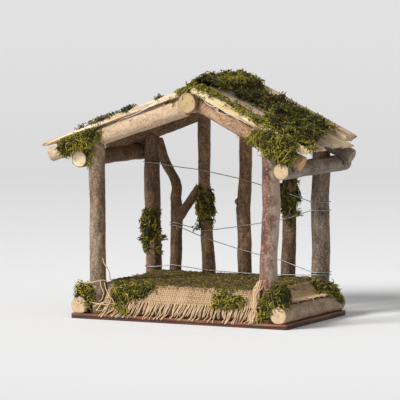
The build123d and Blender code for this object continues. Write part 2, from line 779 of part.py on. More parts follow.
def wire(uprights, shares, grow=0.0):
    """Wire round the first upright, in front of the ones between and round the last."""
    heights = [mat_top + share * (left.beam_z - beam_radius - mat_top) for share in shares]
    touched = [section_at(upright, height) for upright, height in zip(uprights, heights)]
    reaches = [radius + wire_room + wire_radius for centre, radius in touched]
    # In front of each upright; on the end ones the wire only turns off once it is past the middle
    shifts = [reaches[0] / 2, *[0 for upright in uprights[1:-1]], -reaches[-1] / 2]
    fronts = [
        (centre.X + shift, centre.Y - reach, height)
        for (centre, radius), reach, height, shift in zip(touched, reaches, heights, shifts)
    ]
    first_x = touched[0][0].X - reaches[0]
    last_x = touched[-1][0].X + reaches[-1]
    points = [
        (first_x, touched[0][0].Y + wire_tail, heights[0]), (first_x, fronts[0][1], heights[0]), *fronts,
        (last_x, fronts[-1][1], heights[-1]), (last_x, touched[-1][0].Y + wire_tail, heights[-1]),
    ]
    radii = [reaches[0], *[wire_bend for front in fronts], reaches[-1]]
    with BuildPart() as strand:
        with BuildLine() as route:
            FilletPolyline(*points, radius=radii)
        with BuildSketch(Plane(origin=route.line @ 0, z_dir=route.line % 0)):
            Circle(wire_radius + grow)
        sweep(path=route.line)
    return strand.part


from_fork = [forked_upright, left_branch, middle_branch, right_branch, post_lines["rear_right"]]
from_post = [post_lines["rear_left"], *from_fork]
keep(wire(from_post, wire_top_heights), "wire_top")
keep(wire(from_fork, wire_middle_heights), "wire_middle")
keep(wire(from_fork, wire_cross_heights), "wire_cross")
keep(wire(from_post, wire_low_heights), "wire_low")

# Moss on the roof

def crown_of(rows):
    """Level that clears the highest slat of a slope and its brad heads."""
    return slat_floor + max(thickness for share, thickness, short in rows) + brad_head_height + moss_room


left_crown = crown_of(left_rows)
right_crown = crown_of(right_rows)


def ridge_cap(lift, half_width):
    """Three points of the cap's section: left foot, peak over the ridge, right foot."""
    peak = max(left_crown / cos(left.pitch), right_crown / cos(right.pitch)) + lift
    ends = [left.at(half_width, left_crown + lift, 0), right.at(half_width, right_crown + lift, 0)]
    return [(ends[0].X, ends[0].Z), (ridge_offset, ridge_height + peak), (ends[1].X, ends[1].Z)]


cap_rear = roof_rear - ridge_moss_rear_gap
with BuildPart() as ridge_moss:
    with BuildSketch(Plane.XZ.offset(-cap_rear)):
        cap_under = ridge_cap(0, ridge_moss_half_width)
        cap_over = ridge_cap(ridge_moss_height, ridge_moss_half_width * moss_shrink)
        with BuildLine():
            Polyline(*cap_under, *reversed(cap_over), close=True)
        make_face()
    extrude(amount=cap_rear - roof_front - ridge_moss_front_gap)
keep(ridge_moss.part, "roof_moss_ridge")

patch_crown = crown_of(right_rows[:-1])
on_right_slope = Plane(origin=right.at(0, patch_crown, 0), x_dir=right.down, z_dir=right.out)
roof_depth = roof_rear - roof_front
right_patch = [(down * right.slat_end, roof_front + back * roof_depth) for down, back in right_moss_outline]
keep(pad(on_right_slope, right_patch, roof_moss_height), "roof_moss_right")


clear_posts = {
    name: stick(stations, along_z, along_x, grow=moss_room) for name, stations in post_lines.items()
}


def eave_moss(label, slope, post_name, up, down, drop):
    """Moss that hangs in front of the rafter over a front post, round the end of the eave beam."""
    radius = max(size for centre, size in rafter_lines[post_name]) / 2
    face_y = min(roof_front, front_y - radius - rafter_crook) - moss_room
    hang = Plane(origin=slope.at(slope.beam_along, slat_floor, face_y), x_dir=slope.down, z_dir=(0, -1, 0))
    high, low = eave_moss_rise, -drop
    middle = (high + low) / 2
    shape = [
        (-up, middle), (-up / 2, high), (down / 2, high), (down, middle), (down / 2, low), (-up / 2, low),
    ]
    outline = [(along, slope.side * height) for along, height in shape]
    beam_end = stick(beam_line(slope), along_y, along_x, grow=moss_room)
    keep(pad(hang, outline, eave_moss_depth, [beam_end, clear_posts[post_name]]), label)


eave_moss(
    "roof_moss_left_eave", left, "front_left", left_eave_moss_up, left_eave_moss_down, left_eave_moss_drop,
)
eave_moss(
    "roof_moss_right_eave", right, "front_right",
    right_eave_moss_up, right_eave_moss_down, right_eave_moss_drop,
)

# Moss at the foot

def rectangle(x_1, y_1, x_2, y_2):
    """Corners of a rectangle between two opposite ones."""
    return [(x_1, y_1), (x_2, y_1), (x_2, y_2), (x_1, y_2)]


flap_face = Plane(origin=top_edge + flap_out * (cloth_thickness + moss_room), x_dir=along_x, z_dir=flap_out)
left_tuft_start = front_left_moss_inset - flap_half
left_tuft = rectangle(left_tuft_start, -front_left_moss_length, left_tuft_start + front_left_moss_width, 0)
keep(pad(flap_face, left_tuft, flap_moss_height), "base_moss_front_left")
middle_tuft = rectangle(
    front_middle_moss_place - front_middle_moss_width / 2, -flap_length,
    front_middle_moss_place + front_middle_moss_width / 2, front_middle_moss_length - flap_length,
)
keep(pad(flap_face, middle_tuft, flap_moss_height), "base_moss_front_middle")

clear_sills = {side: stick(sill_line(side), along_y, along_x, grow=moss_room) for side in (-1, 1)}
clear_front_sill = stick(front_sill_line, along_x, along_y, grow=moss_room)
moss_rear = core_front - cloth_thickness
log_tuft = rectangle(
    log_moss_margin - sill_x - sill_diameter / 2, board_front + log_moss_margin,
    log_moss_inward - sill_inner, moss_rear,
)
keep(
    pad(
        Plane.XY.offset(sill_top - log_moss_drop), log_tuft, log_moss_drop + log_moss_rise,
        [clear_sills[-1], clear_posts["front_left"]],
    ),
    "base_moss_left",
)
right_tuft = rectangle(
    flap_half + right_moss_outward, board_front + log_moss_margin,
    sill_x + sill_diameter / 2 - log_moss_margin, front_y + log_moss_margin,
)
right_tuft_foot = board_top + right_moss_foot
keep(
    pad(
        Plane.XY.offset(right_tuft_foot), right_tuft, cloth_top + right_moss_rise - right_tuft_foot,
        [clear_sills[1], clear_posts["front_right"], clear_front_sill, cloth_body],
    ),
    "base_moss_right",
)
rear_tuft = rectangle(core_edge, core_rear - rear_moss_length, sill_x + rear_moss_outward, core_rear)
rear_tuft_foot = sill_top + seat + cloth_thickness + core_side_rise
keep(
    pad(
        Plane.XY.offset(rear_tuft_foot), rear_tuft, cloth_top + rear_moss_rise - rear_tuft_foot,
        [cloth_body, core_body, mat_body, clear_posts["rear_right"]],
    ),
    "base_moss_rear_right",
)


def sleeve(upright, heights, hollows):
    """Moss tied round a standing stick between two heights."""
    low, high = heights
    stations = []
    for height, swell in ((low, moss_room), ((low + high) / 2, 1.0), (high, moss_room)):
        centre, radius = section_at(upright, height)
        stations.append((centre, 2 * (radius + moss_room + sleeve_thickness * swell)))
    return stick(stations, along_z, along_x, hollows)


clear_fork = forked_branch(grow=moss_room)
clear_left_branch = stick(left_branch, along_z, along_x, grow=moss_room)
clear_right_branch = stick(right_branch, along_z, along_x, grow=moss_room)
clear_wires = [
    wire(from_post, wire_top_heights, grow=moss_room), wire(from_fork, wire_middle_heights, grow=moss_room),
    wire(from_fork, wire_cross_heights, grow=moss_room), wire(from_post, wire_low_heights, grow=moss_room),
]
clear_rear_post = [clear_posts["rear_left"], clear_fork, *clear_wires]
keep(sleeve(post_lines["rear_left"], rear_left_moss_heights, clear_rear_post), "post_moss_rear_left")
clear_left_stick = [clear_left_branch, clear_fork, *clear_wires]
keep(sleeve(left_branch, left_fence_moss_heights, clear_left_stick), "fence_moss_left")
clear_right_stick = [clear_right_branch, *clear_wires]
keep(sleeve(right_branch, right_fence_moss_heights, clear_right_stick), "fence_moss_right")

# Fastener groups

for label, group in (
    ("base_screws", screws.values()),
    ("frame_nails", [*beam_nails.values(), *rafter_nails.values(), *ridge_pins.values()]),
    ("slat_brads", brads),
):
    keep(Compound(children=group), label)

os.makedirs("parts", exist_ok=True)
for piece in pieces:
    export_step(piece, f"parts/{piece.label}.step")
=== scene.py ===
"""Looks of a rustic nativity stable: bark logs, split slats, moss, burlap and wire on a stained board."""

import math
import zlib

import bpy
import numpy as np
from mathutils import Matrix, Vector
from mathutils.bvhtree import BVHTree


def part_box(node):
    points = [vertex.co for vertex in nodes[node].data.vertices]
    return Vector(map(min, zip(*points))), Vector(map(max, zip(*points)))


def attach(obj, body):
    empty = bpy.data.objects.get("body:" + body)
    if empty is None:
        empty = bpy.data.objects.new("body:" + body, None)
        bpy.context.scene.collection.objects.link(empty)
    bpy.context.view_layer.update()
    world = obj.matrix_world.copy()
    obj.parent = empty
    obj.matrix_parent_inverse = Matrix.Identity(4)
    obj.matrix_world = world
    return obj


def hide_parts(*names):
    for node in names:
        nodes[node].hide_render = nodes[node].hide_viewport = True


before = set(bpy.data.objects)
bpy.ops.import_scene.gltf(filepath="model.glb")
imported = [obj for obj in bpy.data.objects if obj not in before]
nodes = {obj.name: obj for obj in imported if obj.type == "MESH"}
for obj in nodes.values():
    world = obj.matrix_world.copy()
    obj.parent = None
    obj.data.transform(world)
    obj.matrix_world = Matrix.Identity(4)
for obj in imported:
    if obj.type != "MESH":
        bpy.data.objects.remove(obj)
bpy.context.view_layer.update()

MM = 0.001
BODY = "root"

# Camera of the photograph, found from the corners of the base board and the log ends
VIEW_TURN = math.radians(26.0)
VIEW_RISE = math.radians(4.77)
VIEW_TARGET = Vector((0, 0, 120 * MM))
VIEW_DISTANCE = 3.702
LENS = 297.37
SENSOR = 36.0
VIEW_SHIFT = (-0.02245, 0.02523)
VIEW_RIGHT = np.array([math.cos(VIEW_TURN), math.sin(VIEW_TURN), 0])

# How far apart the points of a piece are
LOG_NET = 1.12 * MM
SLAT_NET = 0.9 * MM
PURLIN_NET = 1.8 * MM
MOSS_NET = 2.2 * MM
MAT_NET = 2.6 * MM

# Height of the base board's upper side in mm
BOARD_TOP = 5.7

# The wave texture's bands are this far apart at a scale of 1
WAVE_PERIOD = 0.314

# A tube or leaf that rises more steeply than this is turned from another axis
STEEP = 0.8
LEAF_TURN = np.array([0.31, 0.52, 0.79])

KNOT_TONE = "#A8683E"
# Painted shade between the yarns of the burlap
YARN_GAP_SHADE_TONE = "#5A4028"
# Painted highlight on the upper arris of the base board
ARRIS_HIGHLIGHT_TONE = "#9C6848"


def linear(tone):
    """The linear colour of an sRGB hex value."""
    parts = [int(tone[place:place + 2], 16) / 255 for place in (1, 3, 5)]
    return (*[p / 12.92 if p <= 0.04045 else ((p + 0.055) / 1.055) ** 2.4 for p in parts], 1.0)


def per(size):
    """The texture scale whose pattern repeats about every size millimetres."""
    return 1 / (size * MM)


def add(tree, kind, links=None, ramp=None, out=0, **settings):
    """Adds a shader node with its settings, where links gives each socket a value or another node's output,
    and returns the output that out names."""
    made = tree.nodes.new("ShaderNode" + kind)
    for name, value in settings.items():
        setattr(made, name, value)
    for socket, value in (links or {}).items():
        if isinstance(value, bpy.types.NodeSocket):
            tree.links.new(value, made.inputs[socket])
        else:
            made.inputs[socket].default_value = value
    for index, (place, tone) in enumerate(ramp or ()):
        stops = made.color_ramp.elements
        stop = stops[index] if index < 2 else stops.new(place)
        stop.position = place
        stop.color = linear(tone)
    return made.outputs[out]


def new_finish(name, roughness, metallic=0.0):
    """A material with the constants of its shader, its node tree, and the place on the piece."""
    material = bpy.data.materials.new(name)
    material.use_nodes = True
    shader = material.node_tree.nodes["Principled BSDF"]
    shader.inputs["Roughness"].default_value = roughness
    shader.inputs["Metallic"].default_value = metallic
    return material, material.node_tree, add(material.node_tree, "TexCoord", out="Object")


def lead(material, outputs):
    """The material, with each output led into the socket of its shader that is named with it."""
    tree = material.node_tree
    for socket, output in outputs.items():
        tree.links.new(output, tree.nodes["Principled BSDF"].inputs[socket])
    return material


def seed_of(name):
    """A fixed number for a name, the same in each run."""
    return zlib.crc32(name.encode()) % 100000


def chance(cells, seed):
    """A fixed random number from 0 to 1 for each whole-numbered cell."""
    mixed = (cells @ np.array([374761393, 668265263, 1103515245]) + seed * 974711) & 0xFFFFFFFF
    mixed = ((mixed ^ (mixed >> 13)) * 1274126177) & 0xFFFFFFFF
    return ((mixed ^ (mixed >> 16)) & 0xFFFF) / 0xFFFF


def ripple(spots, size, seed):
    """Smooth unevenness from -1 to 1, with lumps of the given size (one number, or one for each axis)."""
    spots = spots / np.asarray(size, float)
    cells = np.floor(spots).astype(np.int64)
    part = spots - cells
    part = part * part * (3 - 2 * part)
    total = np.zeros(len(spots))
    for corner in np.ndindex(2, 2, 2):
        share = np.where(corner, part, 1 - part).prod(axis=1)
        total += share * chance(cells + corner, seed)
    return total * 2 - 1


def ease(value, low, high):
    """0 below low, 1 above high and a smooth rise between them."""
    share = np.clip((value - low) / (high - low), 0, 1)
    return share * share * (3 - 2 * share)


def uneven(spots, layers, seed):
    """The sum of layers of unevenness, each given by its height and the size of its lumps."""
    return sum(height * ripple(spots, size, seed + step) for step, (height, size) in enumerate(layers))


def even_net(node, pitch):
    """A CAD node's solid as an even net: its points and its four-sided faces."""
    stand_in = bpy.data.objects.new("stand_in", nodes[node].data)
    bpy.context.scene.collection.objects.link(stand_in)
    remesh = stand_in.modifiers.new("even_net", "REMESH")
    remesh.mode = "VOXEL"
    remesh.voxel_size = pitch
    graph = bpy.context.evaluated_depsgraph_get()
    net = bpy.data.meshes.new_from_object(stand_in.evaluated_get(graph))
    points = np.empty(len(net.vertices) * 3)
    net.vertices.foreach_get("co", points)
    corners = np.empty(len(net.loops), np.int64)
    net.loops.foreach_get("vertex_index", corners)
    bpy.data.objects.remove(stand_in)
    bpy.data.meshes.remove(net)
    return points.reshape(-1, 3), corners.reshape(-1, 4)


def unit(ways):
    """The same directions with a length of 1."""
    return ways / np.maximum(np.linalg.norm(ways, axis=-1, keepdims=True), 1e-12)


def face_ways(points, faces):
    """The outward direction of each four-sided face, as long as twice its area."""
    corners = points[faces]
    return np.cross(corners[:, 2] - corners[:, 0], corners[:, 3] - corners[:, 1])


def point_ways(points, faces):
    """The outward direction at each point of a net."""
    ways = np.repeat(face_ways(points, faces), 4, axis=0)
    summed = [np.bincount(faces.ravel(), ways[:, axis], len(points)) for axis in range(3)]
    return unit(np.stack(summed, axis=1))


def shape(
    name, points, faces, finishes, stands_for=(), marks=None, finish_of=None, place=None, crisp=False,
):
    """A piece of the stable from arrays of points in metres and faces, which rides on the part."""
    mesh = bpy.data.meshes.new(name)
    mesh.vertices.add(len(points))
    mesh.vertices.foreach_set("co", np.asarray(points, np.float32).ravel())
    mesh.loops.add(faces.size)
    mesh.loops.foreach_set("vertex_index", np.asarray(faces, np.int32).ravel())
    mesh.polygons.add(len(faces))
    mesh.polygons.foreach_set("loop_start", np.arange(0, faces.size, faces.shape[1], dtype=np.int32))
    for material in finishes:
        mesh.materials.append(material)
    if finish_of is not None:
        mesh.polygons.foreach_set("material_index", np.asarray(finish_of, np.int32))
    for mark, values in (marks or {}).items():
        layer = mesh.attributes.new(mark, "FLOAT", "POINT")
        layer.data.foreach_set("value", np.asarray(values, np.float32))
    mesh.update(calc_edges=True)
    if not crisp:
        mesh.shade_smooth()
    made = bpy.data.objects.new(name, mesh)
    bpy.context.scene.collection.objects.link(made)
    if place is not None:
        made.matrix_world = place
    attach(made, BODY)
    if stands_for:
        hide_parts(*stands_for)
    return made


def tubes(paths, radii, sides):
    """Closed tubes along many paths at once: points, three-sided faces, and the place along the path."""
    count, steps = radii.shape
    ahead = unit(np.gradient(paths, axis=1))
    start = np.where(np.abs(ahead[:, :1, 2:]) < STEEP, np.array([0, 0, 1.0]), np.array([1.0, 0, 0]))
    side = unit(np.cross(ahead, start))
    other = np.cross(ahead, side)
    turns = np.arange(sides) * 2 * np.pi / sides
    ring = side[:, :, None] * np.cos(turns)[:, None] + other[:, :, None] * np.sin(turns)[:, None]
    points = paths[:, :, None] + ring * radii[:, :, None, None]
    step, turn = np.meshgrid(np.arange(steps - 1), np.arange(sides), indexing="ij")
    here = (step * sides + turn).ravel()
    beside = (step * sides + (turn + 1) % sides).ravel()
    wall = np.stack([here, beside, beside + sides, here, beside + sides, here + sides], axis=1)
    wall = wall.reshape(-1, 3)
    fan = np.arange(1, sides - 1)
    near_cap = np.stack([fan * 0, fan + 1, fan], axis=1)
    far_cap = np.stack([fan * 0, fan, fan + 1], axis=1) + (steps - 1) * sides
    one = np.concatenate([wall, near_cap, far_cap])
    faces = (one[None] + (np.arange(count) * steps * sides)[:, None, None]).reshape(-1, 3)
    along = np.tile(np.repeat(np.linspace(0, 1, steps), sides), count)
    return points.reshape(-1, 3), faces, along


def spikes(bases, tips, widths):
    """Small closed leaves, each from a three-cornered foot to its tip."""
    ahead = unit(tips - bases)
    side = unit(np.cross(ahead, LEAF_TURN))
    other = np.cross(ahead, side)
    points = np.stack([
        bases + side * widths[:, None],
        bases + (other * 0.87 - side * 0.5) * widths[:, None],
        bases - (other * 0.87 + side * 0.5) * widths[:, None],
        tips,
    ], axis=1)
    one = np.array([[0, 2, 1], [0, 1, 3], [1, 2, 3], [2, 0, 3]])
    faces = (one[None] + (np.arange(len(bases)) * 4)[:, None, None]).reshape(-1, 3)
    return points.reshape(-1, 3), faces


# Finishes


def bark(name, hollow, body, crown, fleck, fleck_from, patch, patch_from, side_shading=0.0):
    """Dry bark on a cut branch: dull, streaked along the branch, with pale pores across it, painted shade in
    the cracks and a painted highlight on the ridges, with weathered patches a thumb wide that some barks lean
    to the side facing right of the camera as painted side shading, and brown knots."""
    material, tree, place = new_finish(name, roughness=0.82)
    relief, side, scar = (
        add(tree, "Attribute", out="Fac", attribute_name=mark) for mark in ("relief", "side", "scar")
    )
    stretched = add(tree, "Mapping", {"Vector": place, "Scale": (1, 1, 0.38)})
    streaks = add(tree, "TexNoise", {"Vector": stretched, "Scale": per(2.8), "Detail": 6, "Roughness": 0.7})
    grit = add(tree, "TexNoise", {"Vector": place, "Scale": per(2.1), "Detail": 4, "Roughness": 0.85})
    # The relief darkens the bark in its cracks and pales it on its ridges: painted shade and painted highlight
    coarse = add(tree, "Math", {0: streaks, 1: relief}, operation="ADD")
    mixed = add(tree, "Math", {0: grit, 1: 2.2, 2: coarse}, operation="MULTIPLY_ADD")
    share = add(tree, "Math", {0: mixed, 1: 0.238}, operation="MULTIPLY")
    tone = add(tree, "ValToRGB", {"Fac": share}, ramp=[(0.40, hollow), (0.50, body), (0.60, crown)])
    wide = add(tree, "TexNoise", {"Vector": place, "Scale": per(14), "Detail": 5, "Roughness": 0.65})
    # Painted side shading: the patches lean to the side facing right of the camera
    patches_with_side_shading = add(tree, "Math", {0: side, 1: side_shading, 2: wide}, operation="MULTIPLY_ADD")
    tone_shift = add(tree, "MapRange", {
        "Value": patches_with_side_shading, "From Min": patch_from, "From Max": patch_from + 0.16, "To Max": 0.8,
    })
    toned = add(tree, "Mix", {0: tone_shift, 6: tone, 7: linear(patch)}, out=2, data_type="RGBA")
    across = add(tree, "Mapping", {"Vector": place, "Scale": (1, 1, 1.6)})
    pores = add(tree, "TexNoise", {"Vector": across, "Scale": per(3.0), "Detail": 4, "Roughness": 0.7})
    dots = add(tree, "MapRange", {
        "Value": pores, "From Min": fleck_from, "From Max": fleck_from + 0.10, "To Max": 0.75,
    })
    flecked = add(tree, "Mix", {0: dots, 6: toned, 7: linear(fleck)}, out=2, data_type="RGBA")
    colour = add(tree, "Mix", {0: scar, 6: flecked, 7: linear(KNOT_TONE)}, out=2, data_type="RGBA")
    fine = add(tree, "TexNoise", {"Vector": stretched, "Scale": per(0.9), "Detail": 4})
    bump = add(tree, "Bump", {"Height": fine, "Strength": 0.6, "Distance": 0.35 * MM})
    return lead(material, {"Base Color": colour, "Normal": bump})


def sawn_end(name, heart, early, late, rim):
    """End grain left by a fine saw: cream, with growth rings round a dark pith, a darker ring under the bark
    and faint saw marks."""
    material, tree, place = new_finish(name, roughness=0.78)
    pith = add(tree, "Attribute", out="Fac", attribute_name="pith")
    rings = add(tree, "TexWave", {
        "Vector": place, "Scale": WAVE_PERIOD * per(1.7), "Distortion": 2.2, "Detail": 2, "Detail Scale": 1.2,
    }, out="Fac", wave_type="RINGS", rings_direction="Z")
    grown = add(tree, "Mix", {0: rings, 6: linear(early), 7: linear(late)}, out=2, data_type="RGBA")
    band = add(tree, "ValToRGB", {"Fac": pith}, ramp=[
        (0.0, heart), (0.14, early), (0.80, early), (0.98, rim),
    ])
    colour = add(tree, "Mix", {0: 0.55, 6: grown, 7: band}, out=2, data_type="RGBA")
    stain = add(tree, "TexNoise", {"Vector": place, "Scale": per(6), "Detail": 5, "Roughness": 0.65})
    shade = add(tree, "MapRange", {
        "Value": stain, "From Min": 0.35, "From Max": 0.7, "To Min": 0.72, "To Max": 1.08,
    })
    toned = add(tree, "Mix", {0: 1.0, 6: colour, 7: shade}, out=2, data_type="RGBA", blend_type="MULTIPLY")
    sawn = add(tree, "Mapping", {"Vector": place, "Scale": (1, 0.1, 1)})
    saw = add(tree, "TexNoise", {"Vector": sawn, "Scale": per(0.8), "Detail": 2})
    bump = add(tree, "Bump", {"Height": saw, "Strength": 0.4, "Distance": 0.2 * MM})
    return lead(material, {"Base Color": toned, "Normal": bump})


def split_wood(name, shade, body, light, streak, streak_from):
    """Branch wood split along the grain and left bare: pale, with long fibres, painted shade in its torn
    hollows and cracks, and a few brown streaks of bark."""
    material, tree, place = new_finish(name, roughness=0.74)
    relief = add(tree, "Attribute", out="Fac", attribute_name="relief")
    long_way = add(tree, "Mapping", {"Vector": place, "Scale": (1, 1, 0.045)})
    fibres = add(tree, "TexNoise", {"Vector": long_way, "Scale": per(1.3), "Detail": 6, "Roughness": 0.65})
    # The relief darkens the torn hollows and cracks: painted shade
    mixed = add(tree, "Math", {0: fibres, 1: relief}, operation="ADD")
    share = add(tree, "Math", {0: mixed, 1: 0.5}, operation="MULTIPLY")
    tone = add(tree, "ValToRGB", {"Fac": share}, ramp=[(0.30, shade), (0.46, body), (0.64, light)])
    wide = add(tree, "Mapping", {"Vector": place, "Scale": (1, 1, 0.12)})
    strips = add(tree, "TexNoise", {"Vector": wide, "Scale": per(7), "Detail": 3, "Roughness": 0.55})
    held = add(tree, "MapRange", {"Value": strips, "From Min": streak_from, "From Max": streak_from + 0.09})
    colour = add(tree, "Mix", {0: held, 6: tone, 7: linear(streak)}, out=2, data_type="RGBA")
    bump = add(tree, "Bump", {"Height": fibres, "Strength": 0.5, "Distance": 0.3 * MM})
    return lead(material, {"Base Color": colour, "Normal": bump})


def dried_moss(name, tones, roots):
    """Preserved sheet moss: matt, green to straw yellow at the tips, darker towards the roots and on the bed
    with painted shade, no two strands alike."""
    material, tree, place = new_finish(name, roughness=0.9)
    tint, rise = (add(tree, "Attribute", out="Fac", attribute_name=mark) for mark in ("tint", "rise"))
    leaf = add(tree, "ValToRGB", {"Fac": tint}, ramp=tones)
    root = add(tree, "ValToRGB", {"Fac": tint}, ramp=roots)
    colour = add(tree, "Mix", {0: rise, 6: root, 7: leaf}, out=2, data_type="RGBA")
    fuzz = add(tree, "TexNoise", {"Vector": place, "Scale": per(1.1), "Detail": 4, "Roughness": 0.7})
    bump = add(tree, "Bump", {"Height": fuzz, "Strength": 0.7, "Distance": 0.5 * MM})
    return lead(material, {"Base Color": colour, "Normal": bump})


def jute():
    """Jute yarn, loosely spun: dull straw brown, each yarn a little different, with painted shade between the
    yarns, and fibres along the yarn."""
    material, tree, place = new_finish("jute_burlap", roughness=0.92)
    yarn, gap = (add(tree, "Attribute", out="Fac", attribute_name=mark) for mark in ("yarn", "gap"))
    tone = add(tree, "ValToRGB", {"Fac": yarn}, ramp=[(0.0, "#A8845E"), (0.45, "#D0AC84"), (1.0, "#EACDA6")])
    fibre = add(tree, "TexNoise", {"Vector": place, "Scale": per(0.9), "Detail": 4, "Roughness": 0.7})
    spun = add(tree, "MapRange", {
        "Value": fibre, "From Min": 0.3, "From Max": 0.7, "To Min": 0.78, "To Max": 1.12,
    })
    toned = add(tree, "Mix", {0: 1.0, 6: tone, 7: spun}, out=2, data_type="RGBA", blend_type="MULTIPLY")
    colour = add(tree, "Mix", {0: gap, 6: toned, 7: linear(YARN_GAP_SHADE_TONE)}, out=2, data_type="RGBA")
    bump = add(tree, "Bump", {"Height": fibre, "Strength": 0.5, "Distance": 0.3 * MM})
    return lead(material, {"Base Color": colour, "Normal": bump})


def stained_hardboard():
    """Hardboard brushed with dark red-brown stain: satin, streaked along the brush, with a dark glue line
    half way up its edge, and a painted highlight that pales the upper board towards its top and makes its
    upper arris paler and redder."""
    material, tree, place = new_finish("stained_hardboard", roughness=0.5)
    brushed = add(tree, "Mapping", {"Vector": place, "Scale": (0.05, 0.05, 1)})
    strokes = add(tree, "TexNoise", {"Vector": brushed, "Scale": per(1.6), "Detail": 6, "Roughness": 0.65})
    tone = add(tree, "ValToRGB", {"Fac": strokes}, ramp=[
        (0.32, "#3A1E12"), (0.50, "#77452C"), (0.68, "#A87450"),
    ])
    level = add(tree, "SeparateXYZ", {0: place}, out="Z")
    share = add(tree, "Math", {0: level, 1: per(BOARD_TOP)}, operation="MULTIPLY")
    # The band darkens the glue line and pales the upper board towards its top, where the painted highlight
    # starts
    band = add(tree, "ValToRGB", {"Fac": share}, ramp=[
        (0.0, "#6A6460"), (0.12, "#B4A8A0"), (0.34, "#A89C94"), (0.40, "#2C2420"), (0.52, "#2C2420"),
        (0.60, "#E6DCD4"), (0.86, "#FFFFFF"),
    ])
    tone_shift = add(tree, "Mix", {0: 1.0, 6: tone, 7: band}, out=2, data_type="RGBA", blend_type="MULTIPLY")
    # The upper arris takes a paler, redder tone: painted highlight
    arris = add(tree, "MapRange", {"Value": share, "From Min": 0.86, "From Max": 1.0, "To Max": 0.7})
    colour = add(tree, "Mix", {0: arris, 6: tone_shift, 7: linear(ARRIS_HIGHLIGHT_TONE)}, out=2, data_type="RGBA")
    rough = add(tree, "MapRange", {"Value": strokes, "To Min": 0.62, "To Max": 0.40})
    bump = add(tree, "Bump", {"Height": strokes, "Strength": 0.25, "Distance": 0.2 * MM})
    return lead(material, {"Base Color": colour, "Roughness": rough, "Normal": bump})


def metal(name, dark, bright, roughness):
    """Drawn steel that has dulled: grey, half matt, with small darker spots."""
    material, tree, place = new_finish(name, roughness=roughness, metallic=1.0)
    spots = add(tree, "TexNoise", {"Vector": place, "Scale": per(3), "Detail": 5, "Roughness": 0.7})
    tone = add(tree, "ValToRGB", {"Fac": spots}, ramp=[(0.35, dark), (0.6, bright)])
    return lead(material, {"Base Color": tone})


def foam():
    """Cut polystyrene foam: white beads with fine dark joints."""
    material, tree, place = new_finish("bead_foam", roughness=0.85)
    beads = add(tree, "TexVoronoi", {"Vector": place, "Scale": per(3.2)}, feature="DISTANCE_TO_EDGE")
    tone = add(tree, "ValToRGB", {"Fac": beads}, ramp=[(0.0, "#BFBFBA"), (0.12, "#EDEDE8")])
    return lead(material, {"Base Color": tone})


pale_hazel = bark("hazel_bark", "#4A382C", "#8A735C", "#B49F86", "#D2C2A6", 0.62, "#7C6650", 0.56, 0.12)
smooth_beech = bark("beech_bark", "#94755A", "#C6A98A", "#E0C9AA", "#5E4A38", 0.67, "#C9A386", 0.58)
cherry = bark("cherry_bark", "#36201A", "#754F40", "#A08470", "#E2D6C4", 0.60, "#B2A08C", 0.46, 0.24)
dark_alder = bark("alder_bark", "#2E2118", "#694F39", "#96795B", "#C0935C", 0.60, "#806E58", 0.58)
light_alder = bark("alder_bark_light", "#34261B", "#785B42", "#A98967", "#CC9E66", 0.59, "#8C7860", 0.58)
grey_alder = bark("alder_bark_grey", "#30261E", "#6F5F50", "#9E8D7B", "#BFB2A0", 0.60, "#7C6E60", 0.58)
grey_ash = bark("ash_bark", "#453A30", "#7C6E60", "#A29585", "#C4B8A6", 0.66, "#8E8070", 0.56)
pale_ash = bark("ash_bark_pale", "#6E5D4B", "#AA9279", "#CBB498", "#75634F", 0.66, "#B6A088", 0.56)
warm_birch = bark("birch_bark", "#5E4230", "#A88264", "#CDAA88", "#E4D2B6", 0.65, "#9A8470", 0.58)
cream_end = sawn_end("sawn_end_grain", "#7A5634", "#E0C29C", "#C39C70", "#92704A")
pale_end = sawn_end("sawn_end_grain_pale", "#AE8656", "#FFE9C4", "#F0CE9E", "#C29C6C")
amber_end = sawn_end("sawn_end_grain_amber", "#7A4F28", "#D2A672", "#B4834C", "#8A6238")
honey_end = sawn_end("sawn_end_grain_honey", "#71502C", "#CFB585", "#B59260", "#87693F")
grey_end = sawn_end("sawn_end_grain_grey", "#5A4A38", "#A08C72", "#86725A", "#62503C")
bright_split = split_wood("split_hazel_fresh", "#A88768", "#E2C49E", "#F6E3C4", "#9A7854", 0.60)
cream_split = split_wood("split_hazel", "#94765A", "#D2B48E", "#EBD5B2", "#8A6A4A", 0.60)
peeled = split_wood("peeled_willow", "#AC8A5C", "#DDBF8A", "#F2DEB2", "#B0905E", 0.66)
grey_split = split_wood("weathered_split", "#6C5E50", "#AC9A86", "#CFC0AA", "#5A4A3A", 0.58)
strip_finish = split_wood("inner_bark", "#A89C8A", "#D9D0C0", "#EFE9DC", "#B8A890", 0.70)
tan_split = split_wood("split_beech", "#866A4C", "#C2A684", "#DFCBA6", "#70533A", 0.57)
# The second ramp of each moss is the painted shade at the roots and on the bed
moss_finish = dried_moss("dried_moss", [
    (0.0, "#2E2910"), (0.28, "#504C17"), (0.52, "#7D7620"), (0.76, "#AEA230"), (1.0, "#DAC856"),
], [(0.0, "#131107"), (1.0, "#3E3814")])
mat_finish = dried_moss("dried_moss_trodden", [
    (0.0, "#33290F"), (0.35, "#604F1F"), (0.65, "#8C7832"), (1.0, "#BCA850"),
], [(0.0, "#241C0C"), (1.0, "#54461F")])
jute_finish = jute()
board_finish = stained_hardboard()
wire_finish = metal("galvanised_wire", "#8A8A86", "#BCBCB6", 0.55)
steel_finish = metal("steel_fastener", "#4A4846", "#787672", 0.48)
foam_finish = foam()


# Logs: bark with cracks, slow waves and knots, and sawn ends

# Height of the bark's lumps (mm) and their size across and along the branch
BARK_RELIEF = [(0.34, (2.6, 2.6, 13)), (0.16, (1.3, 1.3, 3.2)), (0.5, (9, 9, 17))]
BARK_LIMIT = 0.9
